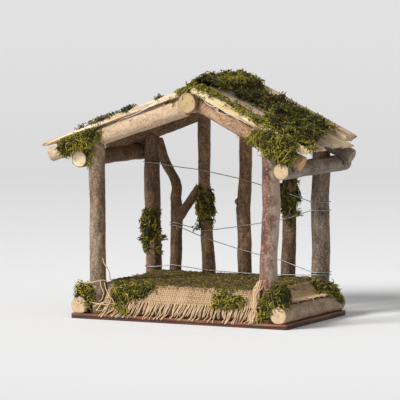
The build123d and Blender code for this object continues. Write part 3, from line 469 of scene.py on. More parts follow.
# How much a surface turns to the grain: from a piece's sides to its ends
SIDE_TO_END = (0.45, 0.8)
END_FACING = 0.8
RIM_PERCENTILE = 97
# A knot has a hollow ring round it, in shares of its radius and height, and a scar of bare wood
KNOT_RING, KNOT_RING_WIDTH, KNOT_RING_DEPTH = 1.3, 0.45, 0.25
SCAR, SCAR_TIGHTNESS = 0.7, 1.2

# The forked branch's stem: heights at which it bends out and back, the side that the fork's other arm is on,
# and how far its tip moves above a height
FORK_KNEE = 4.7
FORK_BENDS_OUT, FORK_BENDS_BACK = (123, 140), (146, 172)
FORK_ARM_FROM = (-69, -64)
FORK_TIP_FROM = 160.0
FORK_TIP = (-3.0, 2.5, 10.0)

# Knots and twig stubs: branch, place on its surface (mm), radius and height
knots = [
    ("post_front_left", (-102.0, -75.0, 131.0), 3.6, 0.7),
    ("post_front_left", (-97.5, -72.0, 92.0), 3.2, 0.9),
    ("post_front_right", (100.0, -74.5, 88.0), 3.6, 1.0),
    ("post_front_right", (112.0, -70.0, 140.0), 3.0, 0.9),
    ("post_rear_left", (-89.0, 68.0, 115.0), 4.0, 2.6),
    ("post_rear_right", (98.0, 62.0, 128.0), 3.6, 1.2),
    ("fence_branch_forked", (-70.0, 64.0, 92.0), 3.4, 1.2),
    ("fence_branch_left", (-22.0, 67.0, 64.0), 2.6, 4.2),
    ("fence_branch_left", (-33.0, 62.0, 118.0), 3.0, 1.0),
    ("fence_branch_middle", (1.0, 68.0, 125.0), 3.4, 3.0),
    ("fence_branch_middle", (20.5, 67.0, 87.0), 4.0, 2.2),
    ("fence_branch_right", (60.0, 62.0, 84.0), 3.0, 1.2),
    ("rafter_front_left", (-60.0, -74.0, 223.0), 2.2, -1.6),
    ("rafter_front_right", (62.0, -74.0, 208.0), 3.0, 0.8),
    ("sill_log_right", (126.0, -20.0, 23.0), 3.4, 1.0),
]


def grain_frame(points):
    """The frame of a piece of wood, in its middle, with Z along the grain."""
    middle = points.mean(axis=0)
    ways = np.linalg.eigh(np.cov((points - middle).T))[1]
    along = ways[:, 2] * np.sign(ways[np.abs(ways[:, 2]).argmax(), 2])
    across = ways[:, 1] * np.sign(ways[np.abs(ways[:, 1]).argmax(), 1])
    across = unit(across - along * (across @ along))
    return middle, np.stack([across, np.cross(along, across), along], axis=1)


def placed(middle, ways):
    """The matrix of a piece's own frame."""
    matrix = Matrix.Identity(4)
    for row in range(3):
        for column in range(3):
            matrix[row][column] = ways[row, column]
        matrix[row][3] = middle[row]
    return matrix


def forked_stem(spots):
    """The forked branch's stem stays upright above the fork, then bends over, and ends behind the rafter."""
    x, z = spots[:, 0], spots[:, 2]
    bent = ease(z, *FORK_BENDS_OUT) * (1 - ease(z, *FORK_BENDS_BACK))
    spots[:, 0] += FORK_KNEE * bent * (1 - ease(x, *FORK_ARM_FROM))
    return spots + ease(z, FORK_TIP_FROM, z.max())[:, None] * np.array(FORK_TIP)


def grained(node, pitch, trim=None):
    """A piece of wood as an even net: points, faces, frame along the grain, outward ways, points in that
    frame in millimetres, 1 on its sides to 0 on its ends, and the frame's matrix. Trim moves its points."""
    points, faces = even_net(node, pitch)
    if trim is not None:
        points = trim(points / MM) * MM
    middle, ways = grain_frame(points)
    outward = point_ways(points, faces)
    own = (points - middle) @ ways / MM
    side_on = 1 - ease(np.abs(outward @ ways[:, 2]), *SIDE_TO_END)
    return points, faces, ways, outward, own, side_on, placed(middle, ways)


def log(node, finish, end_finish, pitch=LOG_NET, rough=1.0, trim=None):
    """A branch in its bark, with its sawn ends."""
    points, faces, ways, outward, own, side_on, place = grained(node, pitch, trim)
    relief = uneven(own, BARK_RELIEF, seed_of(node)) * rough
    scar = np.zeros(len(points))
    for name, spot, radius, height in knots:
        if name == node:
            gap = np.linalg.norm(points / MM - np.array(spot), axis=1) / radius
            ring = np.exp(-((gap - KNOT_RING) / KNOT_RING_WIDTH) ** 2)
            relief += height * np.exp(-gap**2) - KNOT_RING_DEPTH * height * ring
            if height > 0:
                scar += SCAR * np.exp(-(gap * SCAR_TIGHTNESS) ** 2)
    moved = own + (outward @ ways) * (relief * side_on)[:, None]
    radial = np.linalg.norm(own[:, :2], axis=1)
    facing = face_ways(points, faces)
    ends = np.abs(facing @ ways[:, 2]) > END_FACING * np.linalg.norm(facing, axis=1)
    marks = {
        # side: how far the surface faces right of the camera, for the bark's painted side shading
        "side": outward @ VIEW_RIGHT,
        # relief: for the painted shade in the cracks and the painted highlight on the ridges
        "relief": 0.5 + 0.42 * np.clip(relief, -BARK_LIMIT, BARK_LIMIT) * side_on,
        "scar": np.clip(scar, 0, SCAR),
        "pith": radial / np.percentile(radial, RIM_PERCENTILE),
    }
    return shape(
        node + "_log", moved * MM, faces, [finish, end_finish], [node], marks, ends.astype(int),
        place,
    )


log("post_front_left", pale_hazel, cream_end)
log("post_front_right", cherry, cream_end)
log("post_rear_left", dark_alder, cream_end)
log("post_rear_right", grey_alder, cream_end)
log("fence_branch_forked", dark_alder, cream_end, trim=forked_stem)
log("fence_branch_left", light_alder, cream_end)
log("fence_branch_middle", light_alder, cream_end)
log("fence_branch_right", dark_alder, cream_end)
log("rafter_front_left", smooth_beech, amber_end, rough=0.55)
log("rafter_front_right", warm_birch, amber_end, rough=0.8)
log("rafter_rear_left", dark_alder, amber_end)
log("rafter_rear_right", grey_ash, grey_end)
log("ridge_pole", warm_birch, honey_end)
log("eave_beam_left", dark_alder, pale_end)
log("eave_beam_right", grey_ash, cream_end)
log("sill_log_left", grey_ash, cream_end)
log("sill_log_right", pale_ash, cream_end, rough=0.7)
log("sill_log_front", dark_alder, cream_end)
for purlin in ("purlin_left_upper", "purlin_left_lower", "purlin_right_upper", "purlin_right_lower"):
    log(purlin, dark_alder, cream_end, PURLIN_NET, 0.6)


# Slats: split along the grain, with torn ends at the eaves

SPLIT_RELIEF = [(0.34, (1.6, 1.6, 34)), (0.16, (0.9, 0.9, 12)), (0.5, (7, 7, 30))]
SLAT_CRACK = 1.1
CRACK_SIZE = (3.0, 3.0, 55)
CRACK_FROM = (0.42, 0.6)
SLAT_TEAR = 5.0
TEAR_RELIEF = [(0.6, 2.0), (0.4, 6.0)]
TEAR_SKEW = (1, 0.3, 0)
TEAR_REACH = 20.0
SLAT_UNDERCUT = 6.0
UNDERCUT_REACH = 18.0
EDGE_WEAR = 0.6
EDGE_WEAR_LENGTH = 9
EDGE_PERCENTILE = 99
# A slat nearer to level than this has no lower end
LEVEL = 0.05


def slat(node, finish, undercut):
    """A split slat: fibres and cracks along it, uneven edges and a torn lower end, cut back by so much on its
    underside."""
    faces, ways, outward, own, side_on, place = grained(node, SLAT_NET)[1:]
    seed = seed_of(node)
    relief = uneven(own, SPLIT_RELIEF, seed)
    relief -= SLAT_CRACK * ease(ripple(own, CRACK_SIZE, seed + 6), *CRACK_FROM)
    moved = own + (outward @ ways) * (relief * side_on)[:, None]
    downward = -np.sign(ways[2, 2]) if abs(ways[2, 2]) > LEVEL else 1.0
    reach = own[:, 2] * downward
    from_end = reach.max() - reach
    depth = SLAT_TEAR * np.clip(0.5 + uneven(own * TEAR_SKEW, TEAR_RELIEF, seed + 3), 0, 1)
    moved[:, 2] -= downward * depth * (1 - ease(from_end, 0, TEAR_REACH))
    lower = 1 - ease(own[:, 1] * np.sign(ways[2, 1]), own[:, 1].min(), own[:, 1].max())
    moved[:, 2] -= downward * undercut * lower * (1 - ease(from_end, 0, UNDERCUT_REACH))
    edge = np.abs(own[:, 0]) / np.percentile(np.abs(own[:, 0]), EDGE_PERCENTILE)
    wear = EDGE_WEAR * (1 + ripple(own * (0, 0, 1), EDGE_WEAR_LENGTH, seed + 5))
    moved[:, 0] -= np.sign(own[:, 0]) * ease(edge, 0.6, 1) * wear
    # The relief mark carries the painted shade of the torn hollows and cracks
    return shape(
        node + "_split", moved * MM, faces, [finish], [node], {"relief": 0.5 + 0.4 * relief},
        place=place, crisp=True,
    )


for name, finish in (
    ("slat_left_1_upper", bright_split), ("slat_left_1_lower", bright_split), ("slat_left_2", tan_split),
    ("slat_left_3", grey_split), ("slat_left_4", tan_split), ("slat_left_5", grey_split),
    ("slat_left_6", tan_split), ("slat_right_1", peeled), ("slat_right_2", grey_split),
    ("slat_right_3", cream_split), ("slat_right_4", grey_split), ("slat_right_5", tan_split),
    ("slat_right_6", tan_split), ("slat_right_7", tan_split),
):
    slat(name, finish, SLAT_UNDERCUT if "right" in name else 0.0)


# Moss: an uneven bed, dark with painted shade, under curled strands that carry small leaves

STRAND_SIDES = 3
# Room that a strand needs in front of its root (mm)
STRAND_ROOM = 2.0
# Limits of a strand's length, height and thickness, in shares of those asked for, and how far it turns aside
STRAND_LENGTHS, STRAND_HEIGHTS, STRAND_WIDTHS = (0.5, 1.3), (0.3, 1.5), (0.7, 1.3)
STRAND_CURL, STRAND_KINK, STRAND_KINKS = 0.42, 0.16, 6.0
STRAND_LOWEST = 1.0
# Leaves: places along the strand, length in shares of it, width in shares of its thickness, and paler by
LEAF_PLACES, LEAF_LENGTHS = (0.15, 0.95), (0.5, 1.2)
LEAF_SHARE, LEAF_WIDTH, LEAF_PALER = 0.3, 0.8, 0.08
LEAF_RISE = [0.7, 0.7, 0.7, 1.0]
# How far the bed sinks where it is bald and where it lies on wood (mm), and the sizes of its lumps
BALD_SINK, BED_BITE = 6.5, 2.0
BED_LUMPS = (10, 4.5)
# Loose moss: how many spreads it may lie from its place, and where the search for wood starts and ends (mm)
LOOSE_LIMIT = 1.7
SEARCH_BACK, SEARCH_LENGTH = 60, 200
FACES_AWAY = -0.15
TUFT_SPREAD, TUFT_LEAN = 1.6, 2.6


def solid(names):
    """The surface of some CAD nodes together, to find places on it."""
    corners, faces = [], []
    for name in names:
        first = len(corners)
        corners.extend(corner.co[:] for corner in nodes[name].data.vertices)
        faces.extend([first + corner for corner in face.vertices] for face in nodes[name].data.polygons)
    return BVHTree.FromPolygons(corners, faces)


hard = solid([name for name in nodes if "moss" not in name and "wire" not in name])


def in_air(spots, ways):
    """Whether there is room for a strand at each spot, in the way that it faces."""
    return np.array([
        hard.ray_cast(Vector(spot), Vector(way), STRAND_ROOM * MM)[0] is None
        for spot, way in zip(spots, ways)
    ])


def strands(roots, facing, rng, length, tint, droop, leaves, thickness, steps=6, lift=0.34, lean=0):
    """Curled moss strands that lie along what they grow on: points, faces, tint and rise. Lean is a
    direction, or one for each strand, that they tend to follow."""
    count = len(roots)
    along = rng.normal(size=(count, 3)) + np.array([0, 0, -droop]) + lean
    along = unit(along - facing * (along * facing).sum(axis=1, keepdims=True))
    beside = np.cross(facing, along)
    reach = (length * rng.uniform(*STRAND_LENGTHS, count))[:, None]
    height = (lift * length * rng.uniform(*STRAND_HEIGHTS, count))[:, None]
    curl = rng.normal(0, STRAND_CURL, count)[:, None]
    kink = rng.normal(0, STRAND_KINK, count)[:, None]
    share = np.linspace(0, 1, steps)
    ahead = reach * (share - 0.12 * share**2)
    sideways = reach * (curl * share**2 + kink * np.sin(share * STRAND_KINKS))
    up = height * np.sin(np.pi * share * 0.86) - 0.5
    paths = roots[:, None] + sum(
        way[:, None] * (distance * MM)[..., None]
        for way, distance in ((along, ahead), (beside, sideways), (facing, up))
    )
    paths[:, :, 2] -= droop * 0.35 * reach * share**2 * MM
    paths[:, :, 2] = np.maximum(paths[:, :, 2], STRAND_LOWEST * MM)
    taper = 0.6 + 0.7 * share - 1.1 * share**3
    widths = thickness * MM * rng.uniform(*STRAND_WIDTHS, (count, 1)) * taper
    points, faces, rise = tubes(paths, widths, STRAND_SIDES)
    tints = np.repeat(tint, steps * STRAND_SIDES)
    # Strands darken towards their roots: painted shade
    rises = 0.35 + 0.65 * rise
    if leaves:
        where = rng.uniform(*LEAF_PLACES, (count, leaves))
        step = np.clip((where * (steps - 1)).astype(int), 0, steps - 2)
        part = (where * (steps - 1) - step)[..., None]
        row = np.arange(count)[:, None]
        feet = (paths[row, step] * (1 - part) + paths[row, step + 1] * part).reshape(-1, 3)
        ways = unit(rng.normal(size=(count, leaves, 3)) + 0.8 * facing[:, None] + 0.8 * along[:, None])
        long = (LEAF_SHARE * length * MM * rng.uniform(*LEAF_LENGTHS, (count, leaves))).reshape(-1, 1)
        tips = feet + ways.reshape(-1, 3) * long
        tips[:, 2] = np.maximum(tips[:, 2], STRAND_LOWEST * MM)
        leaf_points, leaf_faces = spikes(feet, tips, LEAF_WIDTH * thickness * MM * np.ones(len(feet)))
        faces = np.concatenate([faces, leaf_faces + len(points)])
        points = np.concatenate([points, leaf_points])
        tints = np.concatenate([tints, np.repeat(tint + LEAF_PALER, leaves * 4)])
        rises = np.concatenate([rises, np.tile(LEAF_RISE, len(feet))])
    return points, faces, np.clip(tints, 0, 1), rises


def moss(
    node, density, length, tone, droop=0.35, leaves=3, lump=1.5, pitch=MOSS_NET, thickness=0.62, steps=6,
    lift=0.34, sink=0.8, front=0.0, upper=0.0, left=0.0, trim=None, bare=None, clear=(), finish=moss_finish,
    bed_light=0.15,
):
    """Moss over a CAD pad: its bed and its strands, so many to the square millimetre. The tone runs from dark
    green, 0, to straw, 1; front, upper and left add to it towards those sides of the pad. Trim moves the bed,
    bare gives the share by which it sinks into the wood and stays bald, and clear lists log ends (x, z and
    radius) that no strand hides."""
    seed = seed_of(node)
    rng = np.random.default_rng(seed)
    points, faces = even_net(node, pitch)
    outward = point_ways(points, faces)
    own = points / MM
    rise = uneven(own, zip((lump, lump * 0.7), BED_LUMPS), seed) - sink
    if bare is not None:
        rise -= BALD_SINK * bare(own)
    rise = np.where(in_air(points, outward), rise, BED_BITE)
    bed = points + outward * (rise * MM)[:, None]
    if trim is not None:
        bed = trim(bed / MM) * MM
    bed_ways = face_ways(bed, faces)
    sizes = np.linalg.norm(bed_ways, axis=1) / 2
    count = int(density * sizes.sum() / MM**2)
    chosen = rng.choice(len(faces), count, p=sizes / sizes.sum())
    across, along = rng.random((2, count, 1))
    quads = bed[faces][chosen]
    near = quads[:, 0] * (1 - across) + quads[:, 1] * across
    far = quads[:, 3] * (1 - across) + quads[:, 2] * across
    roots = near * (1 - along) + far * along
    facing = unit(bed_ways[chosen])
    free = in_air(roots, facing)
    if bare is not None:
        free &= bare(roots / MM) < rng.uniform(0.2, 0.7, len(roots))
    for x, z, radius in clear:
        free &= np.hypot(roots[:, 0] / MM - x, roots[:, 2] / MM - z) > radius
    roots, facing = roots[free], facing[free]
    low, high = own.min(axis=0), own.max(axis=0)
    share = (roots / MM - low) / (high - low)
    tint = tone + front * (1 - ease(share[:, 1], 0.02, 0.22)) + upper * (share[:, 2] - 0.5)
    tint += left * (0.5 - share[:, 0])
    tint += 0.30 * ripple(roots / MM, 7, seed + 2) + rng.normal(0, 0.24, len(roots))
    strand_points, strand_faces, tints, rises = strands(
        roots, facing, rng, length, tint, droop, leaves, thickness, steps, lift,
    )
    bed_tint = np.clip(tone - 0.15 + 0.25 * ripple(own, 6, seed + 3), 0, 1)
    # The bed mostly takes the root tones: painted shade under the strands
    bed_rise = np.clip(bed_light + 0.30 * ripple(own, 3.0, seed + 4), 0.0, 0.9)
    return shape(
        node + "_strands", np.concatenate([bed, strand_points]),
        np.concatenate([faces[:, [0, 1, 2]], faces[:, [0, 2, 3]], strand_faces + len(bed)]),
        [finish], [node],
        {"tint": np.concatenate([bed_tint, tints]), "rise": np.concatenate([bed_rise, rises])},
    )


def loose_moss(name, rng, roots, facing, length, tint, droop, leaves, thickness, lift, lean=0):
    """Strands without a bed, as one piece."""
    points, faces, tints, rises = strands(
        roots, facing, rng, length, tint, droop, leaves, thickness, lift=lift, lean=lean,
    )
    return shape(name, points, faces, [moss_finish], (), {"tint": tints, "rise": rises})


def sprinkle(name, spots, way, length, tone, droop=0.2, leaves=4, thickness=0.55, lift=0.4):
    """Loose moss on the wood or cloth below (or behind) each spot: place, spread and number of strands."""
    seed = seed_of(name)
    rng = np.random.default_rng(seed)
    way = Vector(way)
    roots, facing = [], []
    for place, spread, count in spots:
        for offset in np.clip(rng.normal(0, 1, (count, 3)), -LOOSE_LIMIT, LOOSE_LIMIT):
            start = Vector((np.array(place) + offset * np.array(spread)) * MM)
            hit, normal = hard.ray_cast(start - way * SEARCH_BACK * MM, way, SEARCH_LENGTH * MM)[:2]
            if hit is not None and normal.dot(way) < FACES_AWAY:
                roots.append(hit[:])
                facing.append(normal[:])
    roots, facing = np.array(roots), np.array(facing)
    tint = tone + 0.25 * ripple(roots / MM, 6, seed) + rng.normal(0, 0.17, len(roots))
    return loose_moss(name, rng, roots, facing, length, tint, droop, leaves, thickness, lift)


def tufts(name, places, length, tone, thickness=0.6):
    """Leafy ends that stand out from the moss: place, way and number of strands."""
    rng = np.random.default_rng(seed_of(name))
    spots, ways, counts = zip(*places)
    roots = np.repeat(np.array(spots, float), counts, axis=0) * MM
    lean = np.repeat(np.array(ways, float), counts, axis=0)
    roots += rng.normal(0, TUFT_SPREAD, roots.shape) * MM
    facing = unit(np.cross(lean, rng.normal(size=roots.shape)))
    tint = tone + rng.normal(0, 0.2, len(roots))
    return loose_moss(name, rng, roots, facing, length, tint, 0.1, 6, thickness, 0.2, TUFT_LEAN * lean)


# Places that shape the moss (mm): the left eave's tip, a point on the front left slat's underside and its
# slope, the mat's half width, ends, underside and rise, the rear left post, the beams' ends with their radius,
# the slant of the front left moss, the cloth's fall to the right log, and the sizes of bald patches
LEFT_EAVE_TIP = -146
LEFT_SLAT_AT, LEFT_SLAT_SLOPE = (-101.2, 212.8), 0.354
LEFT_SLAT_BARE = (140, 145)
BEAM_MARGIN = 3
MAT_HALF, MAT_FRONT, MAT_REAR = 97.5, -58.5, 75.0
MAT_UNDERSIDE, MAT_RISE, MAT_FEATHER = 40.0, 3.4, (-1, 9)
REAR_LEFT_POST = (-106, 70.5, 0)
POST_BARE = (5, 8)
left_beam_end = (-121.5, 177.5, 12.0)
right_beam_end = (126.5, 173.0, 11.5)
FRONT_MOSS_TOP, FRONT_MOSS_SLANT, FRONT_MOSS_EDGE = 32, 1.9, (-46, -40)
CLOTH_FALL_X, CLOTH_FALL_Z = (95, 112, 120, 132), (44, 38.5, 34, 27)
RIDGE_EDGE = (5, 9)
PATCHES = [(1, (9, 9, 13)), (0.35, 4)]
PATCH_EDGE = 0.25
SLOPE_HOLES, SLOPE_HOLE_FROM = [(1, (11, 16, 11)), (0.5, (5, 7, 5))], (0.62, 0.85)


def under_left_slat(spots):
    """Keeps the hanging moss below the front left slat, and off the rafter's end."""
    x, z = LEFT_SLAT_AT
    spots[:, 0] = np.maximum(spots[:, 0], LEFT_EAVE_TIP + 2 * ripple(spots, 5, 27))
    spots[:, 2] = np.minimum(spots[:, 2], z + (spots[:, 0] - x) * LEFT_SLAT_SLOPE)
    return spots


def feathered(spots):
    """Thins the mat out towards its edges."""
    x, y = spots[:, 0], spots[:, 1]
    edge = np.minimum(MAT_HALF - np.abs(x), np.minimum(y - MAT_FRONT, MAT_REAR - y))
    edge = edge + 2.5 * ripple(spots * (1, 1, 0), 9, 11)
    spots[:, 2] = np.minimum(spots[:, 2], MAT_UNDERSIDE + MAT_RISE * ease(edge, *MAT_FEATHER))
    return spots


def patchy(from_share, seed):
    """Bald patches the size of a fingertip."""
    return lambda spots: ease(uneven(spots, PATCHES, seed), from_share, from_share + PATCH_EDGE)


def ridge_ragged(spots):
    """The ridge moss has an uneven edge on the left slope."""
    return ease(7 * ripple(spots * (0, 1, 0), 13, 31) - spots[:, 0], *RIDGE_EDGE)


def left_post_bald(spots):
    """The moss on the rear left post leaves the post's right side bare, as the camera sees it."""
    aside = (spots - np.array(REAR_LEFT_POST)) @ VIEW_RIGHT
    return np.maximum(ease(aside, *POST_BARE), patchy(0.85, 3)(spots))


def slope_holes(spots):
    """The right slope's moss has holes, where slats show through."""
    return ease(uneven(spots, SLOPE_HOLES, 5), *SLOPE_HOLE_FROM)


def left_eave_bald(spots):
    """The left eave's moss leaves the slat's end and the beam's end bare."""
    x, z, radius = left_beam_end
    beam_gap = np.hypot(spots[:, 0] - x, spots[:, 2] - z)
    slat_end = ease(-spots[:, 0] + 4 * ripple(spots, 8, 17), *LEFT_SLAT_BARE)
    return np.maximum(slat_end, ease(-beam_gap, -radius - BEAM_MARGIN, -radius))


def front_left_bald(spots):
    """The front left moss runs from its upper right corner down to its lower left one."""
    slant = spots[:, 0] + FRONT_MOSS_SLANT * (FRONT_MOSS_TOP - spots[:, 2])
    return ease(slant + 5 * ripple(spots, 7, 19), *FRONT_MOSS_EDGE)


def rear_slope(spots):
    """The rear right moss lies on the cloth's fall to the log."""
    fall = np.interp(spots[:, 0], CLOTH_FALL_X, CLOTH_FALL_Z)
    spots[:, 2] = np.minimum(spots[:, 2], fall + 1.2 * ripple(spots, 5, 23))
    return spots


moss("roof_moss_ridge", 0.24, 6.5, 0.45, droop=0.1, lump=1.4, sink=1.8, thickness=0.66, bare=ridge_ragged)
moss("roof_moss_right", 0.20, 6.8, 0.33, droop=0.2, front=0.32, upper=-0.05, lump=1.6, sink=2.8,
     thickness=0.66, steps=5, bare=slope_holes)
moss("roof_moss_right_eave", 0.24, 7.0, 0.60, left=0.15, droop=0.6, lump=2.4, thickness=0.68, lift=0.42,
     clear=[right_beam_end])
moss("roof_moss_left_eave", 0.26, 7.0, 0.52, droop=0.45, lump=2.6, thickness=0.68, lift=0.40,
     trim=under_left_slat, clear=[left_beam_end], bare=left_eave_bald)
moss("base_moss_left", 0.24, 7.0, 0.56, lump=2.4, thickness=0.68, lift=0.45)
moss("base_moss_front_left", 0.24, 7.0, 0.56, droop=0.7, lump=2.0, thickness=0.68, lift=0.42,
     bare=front_left_bald)
moss("base_moss_front_middle", 0.24, 7.0, 0.58, droop=0.7, lump=2.0, thickness=0.68, lift=0.42)
moss("base_moss_right", 0.22, 7.0, 0.56, left=0.4, droop=0.6, lump=2.6, thickness=0.70, lift=0.45)
moss("base_moss_rear_right", 0.26, 5.5, 0.42, lump=1.6, trim=rear_slope)
moss("post_moss_rear_left", 0.26, 6.0, 0.42, droop=0.6, lump=1.8, sink=1.6, bare=left_post_bald)
moss("fence_moss_left", 0.26, 6.0, 0.58, droop=0.6, lump=2.2, sink=2.6, bare=patchy(0.4, 8))
moss("fence_moss_right", 0.26, 6.0, 0.42, droop=0.6, lump=2.2, sink=2.6, bare=patchy(0.5, 21))
moss("moss_mat", 0.19, 4.2, 0.54, droop=0.0, leaves=0, lump=0.6, pitch=MAT_NET, thickness=0.46, steps=4,
     lift=0.2, sink=0.5, trim=feathered, finish=mat_finish, bed_light=0.4)
downward, backward = (0, 0, -1), (0, 1, 0)
sprinkle("roof_moss_left_bits", [
    ((-128, -64, 218), (3, 6, 0), 30), ((-110, -64, 225), (5, 6, 0), 60), ((-99, -66, 229), (3, 5, 0), 60),
    ((-88, -66, 232), (4, 5, 0), 30), ((-72, -66, 237), (6, 4, 0), 40), ((-64, -67, 241), (2, 3, 0), 40),
    ((-28, -68, 254), (1.5, 3, 0), 18),
], downward, 5.0, 0.36, lift=0.8)
sprinkle("roof_moss_apex_bits", [
    ((2, -66, 261), (3.5, 4, 0), 90), ((12, -68, 261), (6, 2.2, 0), 190), ((24, -66, 259), (8, 4, 0), 90),
    ((18, -52, 262), (10, 8, 0), 240), ((38, -52, 255), (8, 3, 0), 36),
], downward, 5.0, 0.62, lift=0.4)
sprinkle("roof_moss_gable_bits", [
    ((-9, -74, 245.5), (2, 0, 2.2), 30), ((2, -76, 255), (4, 0, 1.5), 34), ((25, -74, 251), (4, 0, 2), 14),
], backward, 5.0, 0.66, droop=0.8, lift=0.4)
sprinkle("eave_moss_tails", [
    ((-112, -80, 176), (1.4, 0, 4), 34), ((-107, -80, 187), (3, 0, 2), 16),
    ((-100, -80, 205), (1.4, 0, 4), 30),
    ((76, -80, 205), (4, 0, 2.5), 60), ((83, -80, 200), (4, 0, 3), 60), ((90, -80, 205), (4, 0, 3), 50),
    ((121, -80, 184), (4, 0, 3), 24),
], backward, 5.0, 0.66, droop=0.7, lift=0.4)
sprinkle("roof_moss_right_bits", [
    ((48, -66, 246), (12, 3, 0), 34), ((70, -66, 236), (9, 3, 0), 110), ((88, -67, 227), (10, 4, 0), 180),
    ((105, -67, 220), (10, 4, 0), 180), ((126, -66, 209), (7, 4, 0), 60), ((56, -53, 243), (14, 3, 0), 70),
    ((70, -38, 240), (12, 6, 0), 60), ((112, 30, 222), (10, 12, 0), 110), ((88, 61, 236), (9, 3, 0), 80),
    ((104, 64, 228), (6, 4, 0), 50), ((122, 64, 218), (4, 2, 0), 22), ((36, 62, 262), (5, 3, 0), 50),
], downward, 5.5, 0.56, lift=0.35)
sprinkle("ground_moss_bits", [
    ((-60, -61, 40), (22, 1.5, 0), 160), ((0, -61, 40), (30, 1.2, 0), 180),
    ((60, -61, 40), (20, 1.2, 0), 140),
    ((103, 0, 38), (3, 30, 0), 160), ((-103, 0, 38), (3, 30, 0), 140),
], downward, 3.6, 0.44, leaves=2, thickness=0.42, lift=0.2)
sprinkle("ground_moss_tufts", [
    ((-43, -62, 40), (5, 2, 0), 60), ((50, -63, 40), (5, 2, 0), 40), ((60, -66, 36), (6, 2, 0), 50),
    ((118, 62, 34), (6, 5, 0), 60), ((129, 66, 30), (4, 4, 0), 90), ((120, 48, 34), (5, 6, 0), 50),
    ((92, 66, 42), (6, 4, 0), 70), ((-95, 60, 42), (7, 6, 0), 90), ((-70, 66, 42), (10, 4, 0), 60),
], downward, 6.0, 0.46, lift=0.45, thickness=0.64, leaves=3)
sprinkle("front_moss_tails", [
    ((-76, -80, 20), (4, 0, 3), 70), ((-69, -80, 14), (3, 0, 3), 50), ((-81, -80, 25), (3, 0, 3), 50),
    ((74, -80, 27), (3, 0, 2.5), 30), ((-112, -80, 18), (1.5, 0, 4), 26),
], backward, 6.5, 0.58, droop=0.9, lift=0.45, thickness=0.66, leaves=3)
tufts("fence_moss_tufts", [
    ((-91, 62, 81), (1, -0.2, 0.05), 26), ((-114, 63, 77), (-1, -0.2, -0.1), 12),
    ((-96, 61, 65), (0.9, -0.2, -0.2), 14), ((-108, 62, 108), (-0.3, -0.2, 1), 12),
    ((-44, 62, 96), (-0.8, -0.2, -0.5), 14), ((-28, 62, 111), (1, -0.2, 0.1), 14),
    ((-42, 62, 138), (-0.4, -0.2, 1), 14), ((79, 62, 115), (1, -0.2, -0.1), 24),
    ((71, 62, 107), (0.2, -0.2, -1), 12), ((77, 62, 150), (0.4, -0.2, 1), 10),
], 6.5, 0.44)


# Burlap: a plain weave over the ground, hanging over the front log with a frayed edge

# Yarns (mm): distance, net points to a yarn, height and depth of the weave
YARN_PITCH = 2.5
YARN_STEPS = 3
WEAVE_HEIGHT = 0.34
WEAVE_GAP = 0.30
# Cloth (mm): front fold and rear edge, woven length of the front flap, half widths and hem of the flaps, where
# a branch shows in front of the rear one, where the profile across is taken, and how ragged the sides are
CLOTH_FOLD_Y, CLOTH_REAR_Y = -59.85, 77.4
FLAP_WEAVE = 23.5
FLAP_HALF, REAR_HALF = 93.5, 97.0
REAR_HEM = 0.6
BRANCH_SHOWS = 76.4
CLOTH_INSET = 0.4
CLOTH_ROUNDING = 4
PROFILE_Y = 8.0
RAGGED_FROM, RAGGED_DEPTH = (116, 127), 1.8
RAGGED = [(1.8, 7), (0.8, 2.5)]
CREASES, CREASES_FROM = [(0.9, (14, 18, 1)), (0.4, (6, 9, 1))], (-4, 10)
# Front log and front edge of the board (mm)
SILL_Y, SILL_Z, SILL_RADIUS = -68.0, 12.9, 8.4
BOARD_FRONT = -80.5
# Loose yarns: sides and stations of a tube, tones, and radii (mm)
YARN_SIDES = 6
YARN_STATIONS, SIDE_STATIONS, STRAY_STATIONS, STRIP_STATIONS = 14, 7, 40, 60
YARN_TONES = (0.6, 1.0)
STRAY_ROUNDING = 4
STRAY_RADIUS, TUCK_RADIUS, FRINGE_RADIUS, SIDE_RADIUS = 0.62, 0.58, 0.6, 0.576
TUCK_YARNS = 16
# Fringe (mm): first yarn, yarn to yarn, length, lowest tip, gap to the wood behind, and how many yarns
# hang together
FRINGE_FROM, FRINGE_PITCH = -88.0, 1.45
FRINGE_REACH, FRINGE_FOOT, FRINGE_OFF = 20.0, 3.2, 0.9
BUNDLE_SIZES, BUNDLE_CHANCES = [1, 2, 3, 4], [0.35, 0.4, 0.2, 0.05]
BUNDLE_GAPS = (0.2, 1.5)
SWEEP, SWEEP_TURN, SWEEP_SPREAD = -6.0, 0.03, 2.6
# Side yarns (mm): start, place from which they hang, length, and share of places that have one
SIDE_FROM, SIDE_HANG_FROM, SIDE_LENGTHS, SIDE_CHANCE = 121.5, 124, (3, 8), 0.6

cloth_low, cloth_high = (np.array(corner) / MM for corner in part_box("burlap_cover"))
cloth_solid = solid(["burlap_cover"])
branches = solid([name for name in nodes if name.startswith(("fence_branch", "post_rear"))])


def cloth_height(x, y):
    """Height of the cloth's upper side in the CAD solid, in millimetres."""
    return cloth_solid.ray_cast(Vector((x * MM, y * MM, 1)), Vector((0, 0, -1)))[0].z / MM


def smoothed(values, width):
    """The values with their corners rounded over about that many steps to each side."""
    window = np.hanning(2 * width + 1)
    extended = np.concatenate([
        2 * values[0] - values[width:0:-1], values, 2 * values[-1] - values[-2:-width - 2:-1],
    ])
    return np.convolve(extended, window / window.sum(), "valid")


